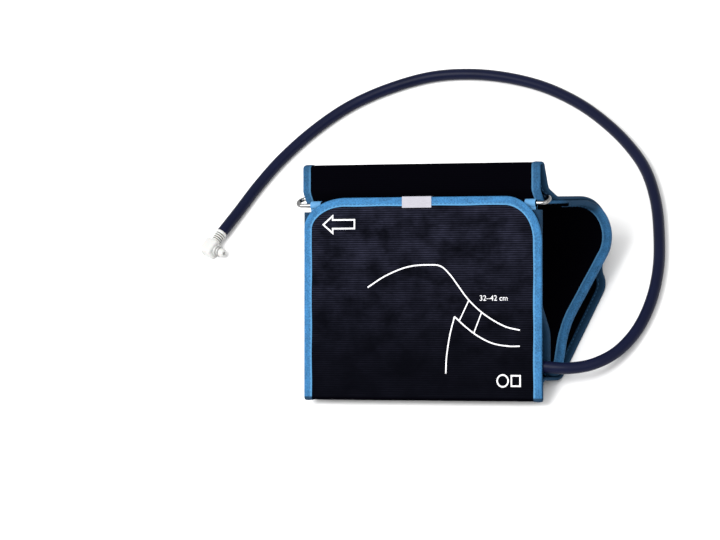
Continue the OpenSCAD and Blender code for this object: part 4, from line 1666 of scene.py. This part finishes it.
def build_prints(context):
    """White prints on the flap: an arrow, an arm outline, its range and a plain mark."""
    o = outline()
    left, right, neck = -62.4, -42.4, -56.4
    arrow = [(left, 102.9), (neck, 107.9), (neck, 105.6), (right, 105.6), (right, 100.5),
             (neck, 100.5), (neck, 97.9)]
    shoulder = [(-34, 66), (-22, 73), (-8, 78), (5.7, 79), (12.7, 78), (18.4, 73), (22.9, 67.3), (30, 58.5),
                (40, 50), (52, 43.5), (61.6, 41.2)]
    under = [(61.6, 32), (54.6, 32), (45, 33.5), (36, 37.5), (28, 43), (21, 49)]
    side = [(21, 49), (18, 38), (16, 26), (15.5, 16)]
    band = [[(30, 58.5), (24, 46.6)], [(38, 51.6), (33, 39.4)]]
    angles = np.linspace(0, 2 * math.pi, 40, endpoint=False)
    ring = [(51 + 3.4 * math.cos(a), 12 + 3.4 * math.sin(a)) for a in angles]
    box = [(56.4, 9), (61.8, 9), (61.8, 15), (56.4, 15)]
    parts = [stroke(o, line, 0.9, closed=True) for line in (arrow, ring, box)]
    parts += [stroke(o, flowing(line), 0.8) for line in (shoulder, under, side)]
    parts += [stroke(o, spaced(line, 1.0), 0.7) for line in band]
    marks = merged("flap_prints", parts)
    dress(marks, "print", "label_cloth", "flap")
    text = bpy.data.curves.new("flap_range", "FONT")
    text.body = "32–42 cm"
    text.extrude = 0.05
    text.size = 1.0
    source = bpy.data.objects.new("flap_range_text", text)
    context.scene.collection.objects.link(source)
    bpy.context.view_layer.update()
    mesh = bpy.data.meshes.new_from_object(source.evaluated_get(bpy.context.evaluated_depsgraph_get()))
    bpy.data.objects.remove(source)
    co = np.array([v.co for v in mesh.vertices], float)
    text_x, text_u, text_width = 36.8, 58.2, 17.2
    scale = text_width / (co[:, 0].max() - co[:, 0].min())
    x = text_x + (co[:, 0] - co[:, 0].min()) * scale
    u = text_u + co[:, 1] * scale
    depth = np.where(co[:, 2] > 0, 0.06, -0.1)
    placed = o.place(x, u, flap_face(o, x, u) - depth)
    mesh.vertices.foreach_set("co", placed.astype(np.float32).ravel())
    work = bmesh.new()
    work.from_mesh(mesh)
    bmesh.ops.remove_doubles(work, verts=work.verts, dist=1e-6)
    bmesh.ops.recalc_face_normals(work, faces=work.faces)
    work.to_mesh(mesh)
    work.free()
    numbers = bpy.data.objects.new("flap_range", mesh)
    context.scene.collection.objects.link(numbers)
    dress(numbers, "print", "label_cloth", "flap")


def declare_cloth(context):
    """Says what size each big cloth was cut to, what it lies on and what is sewn to it."""
    o = outline()
    loop, tail, flap = float(o.wrap.along[-1]), float(o.tail.along[-1]), o.mm["flap_length"]
    for name, long, under, sewn in (
        ("wrap_outer_cloth", loop, "tail_outer_cloth",
         ["wrap_edge_left", "wrap_edge_right", "band_stitches"]),
        ("wrap_inner_cloth", loop, "wrap_outer_cloth", []),
        ("tail_outer_cloth", tail, "table_top", ["tail_edge_left", "tail_edge_right"]),
        ("tail_inner_cloth", tail, "table_top", []),
        ("flap_face_cloth", flap, "flap_under_cloth",
         ["flap_edge_tape", "flap_stitches", "flap_prints", "flap_range"]),
        ("flap_under_cloth", flap, "ring_hem", []),
    ):
        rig.sheet(
            bpy.data.objects[name], flat=(o.half * 2 * MM, long * MM), held="folded", rests_on=[under],
            with_pieces=[bpy.data.objects[part] for part in sewn],
        )


def build_carried(context):
    """Better materials for the solids that stay: the ring, the port, the stay and the O-rings."""
    for node, name in (
        ("bar_ring", "chrome"), ("bladder_port", "port"), ("port_grommet", "port"), ("wrap_stay", "stay"),
        ("nozzle_o_rings", "seal"),
    ):
        mesh = frame["nodes"][node].data
        mesh.materials.clear()
        mesh.materials.append(finish(name))


# ---- operators ----


class CUFF_OT_stage(bpy.types.Operator):
    """Adds the table top, soft light and camera"""

    bl_idname = "cuff.stage"
    bl_label = "Table, light and camera"

    def execute(self, context):
        build_stage(context)
        return {"FINISHED"}


class CUFF_OT_hose(bpy.types.Operator):
    """Adds the air hose with its collar and elbow plug"""

    bl_idname = "cuff.hose"
    bl_label = "Hose and plug"

    def execute(self, context):
        build_hose(context)
        return {"FINISHED"}


class CUFF_OT_wrap(bpy.types.Operator):
    """Adds the loop's cloths and its bladder"""

    bl_idname = "cuff.wrap"
    bl_label = "Loop cloth"

    def execute(self, context):
        build_wrap(context)
        return {"FINISHED"}


class CUFF_OT_tail(bpy.types.Operator):
    """Adds the band past the ring, up to the flap"""

    bl_idname = "cuff.tail"
    bl_label = "Tail cloth"

    def execute(self, context):
        build_tail(context)
        return {"FINISHED"}


class CUFF_OT_flap(bpy.types.Operator):
    """Adds the flap's two cloths"""

    bl_idname = "cuff.flap"
    bl_label = "Flap cloth"

    def execute(self, context):
        build_flap(context)
        return {"FINISHED"}


class CUFF_OT_tapes(bpy.types.Operator):
    """Adds the edge tapes of the loop and the tail"""

    bl_idname = "cuff.tapes"
    bl_label = "Band edge tapes"

    def execute(self, context):
        build_tapes(context)
        return {"FINISHED"}


class CUFF_OT_flap_tape(bpy.types.Operator):
    """Adds the edge tape of the flap"""

    bl_idname = "cuff.flap_tape"
    bl_label = "Flap edge tape"

    def execute(self, context):
        build_flap_tape(context)
        return {"FINISHED"}


class CUFF_OT_hooks(bpy.types.Operator):
    """Adds the hook patch under the flap"""

    bl_idname = "cuff.hooks"
    bl_label = "Hook patch"

    def execute(self, context):
        build_hooks(context)
        return {"FINISHED"}


class CUFF_OT_stitches(bpy.types.Operator):
    """Adds the rows of stitches"""

    bl_idname = "cuff.stitches"
    bl_label = "Stitches"

    def execute(self, context):
        build_stitches(context)
        return {"FINISHED"}


class CUFF_OT_label(bpy.types.Operator):
    """Adds the folded silver label"""

    bl_idname = "cuff.label"
    bl_label = "Label"

    def execute(self, context):
        build_label(context)
        return {"FINISHED"}


class CUFF_OT_hem(bpy.types.Operator):
    """Adds the hem round the ring's lower bar"""

    bl_idname = "cuff.hem"
    bl_label = "Hem and its tapes"

    def execute(self, context):
        build_hem(context)
        return {"FINISHED"}


class CUFF_OT_prints(bpy.types.Operator):
    """Adds the printed marks on the flap"""

    bl_idname = "cuff.prints"
    bl_label = "Prints"

    def execute(self, context):
        build_prints(context)
        return {"FINISHED"}


class CUFF_OT_carried(bpy.types.Operator):
    """Paints the solids that stay as they are"""

    bl_idname = "cuff.carried"
    bl_label = "Carried solids"

    def execute(self, context):
        build_carried(context)
        return {"FINISHED"}


class CUFF_OT_cloth_sizes(bpy.types.Operator):
    """Says what size each big cloth was cut to and what is sewn to it"""

    bl_idname = "cuff.cloth_sizes"
    bl_label = "Cloth sizes"

    def execute(self, context):
        declare_cloth(context)
        return {"FINISHED"}


OPERATORS = [
    CUFF_OT_stage,
    CUFF_OT_hose,
    CUFF_OT_wrap,
    CUFF_OT_tail,
    CUFF_OT_flap,
    CUFF_OT_tapes,
    CUFF_OT_flap_tape,
    CUFF_OT_hooks,
    CUFF_OT_stitches,
    CUFF_OT_label,
    CUFF_OT_hem,
    CUFF_OT_prints,
    CUFF_OT_carried,
    CUFF_OT_cloth_sizes,
]


class CUFF_PT_pieces(bpy.types.Panel):
    """Lists the cuff's sizes, colours and pieces."""

    bl_label = "Blood Pressure Cuff"
    bl_space_type = "VIEW_3D"
    bl_region_type = "UI"
    bl_category = "Cuff"

    def draw(self, context):
        layout = self.layout
        for settings in (context.scene.cuff_sizes, context.scene.cuff_colours):
            column = layout.column(align=True)
            for name in type(settings).__annotations__:
                column.prop(settings, name)
        for made in OPERATORS:
            layout.operator(made.bl_idname)


CLASSES = [CuffSizes, CuffColours, *OPERATORS, CUFF_PT_pieces]


def register():
    for made in CLASSES:
        bpy.utils.register_class(made)
    bpy.types.Scene.cuff_sizes = bpy.props.PointerProperty(type=CuffSizes)
    bpy.types.Scene.cuff_colours = bpy.props.PointerProperty(type=CuffColours)


def unregister():
    del bpy.types.Scene.cuff_sizes
    del bpy.types.Scene.cuff_colours
    for made in reversed(CLASSES):
        bpy.utils.unregister_class(made)


def main():
    register()
    for made in OPERATORS:
        group, name = made.bl_idname.split(".")
        getattr(getattr(bpy.ops, group), name)()
    low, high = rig.bounds()
    boxes = {"cad": [list(c) for c in CAD_BOX], "visual": [list(low), list(high)]}
    with open("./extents.json", "w") as out:
        json.dump(boxes, out)


if __name__ == "__main__":
    main()
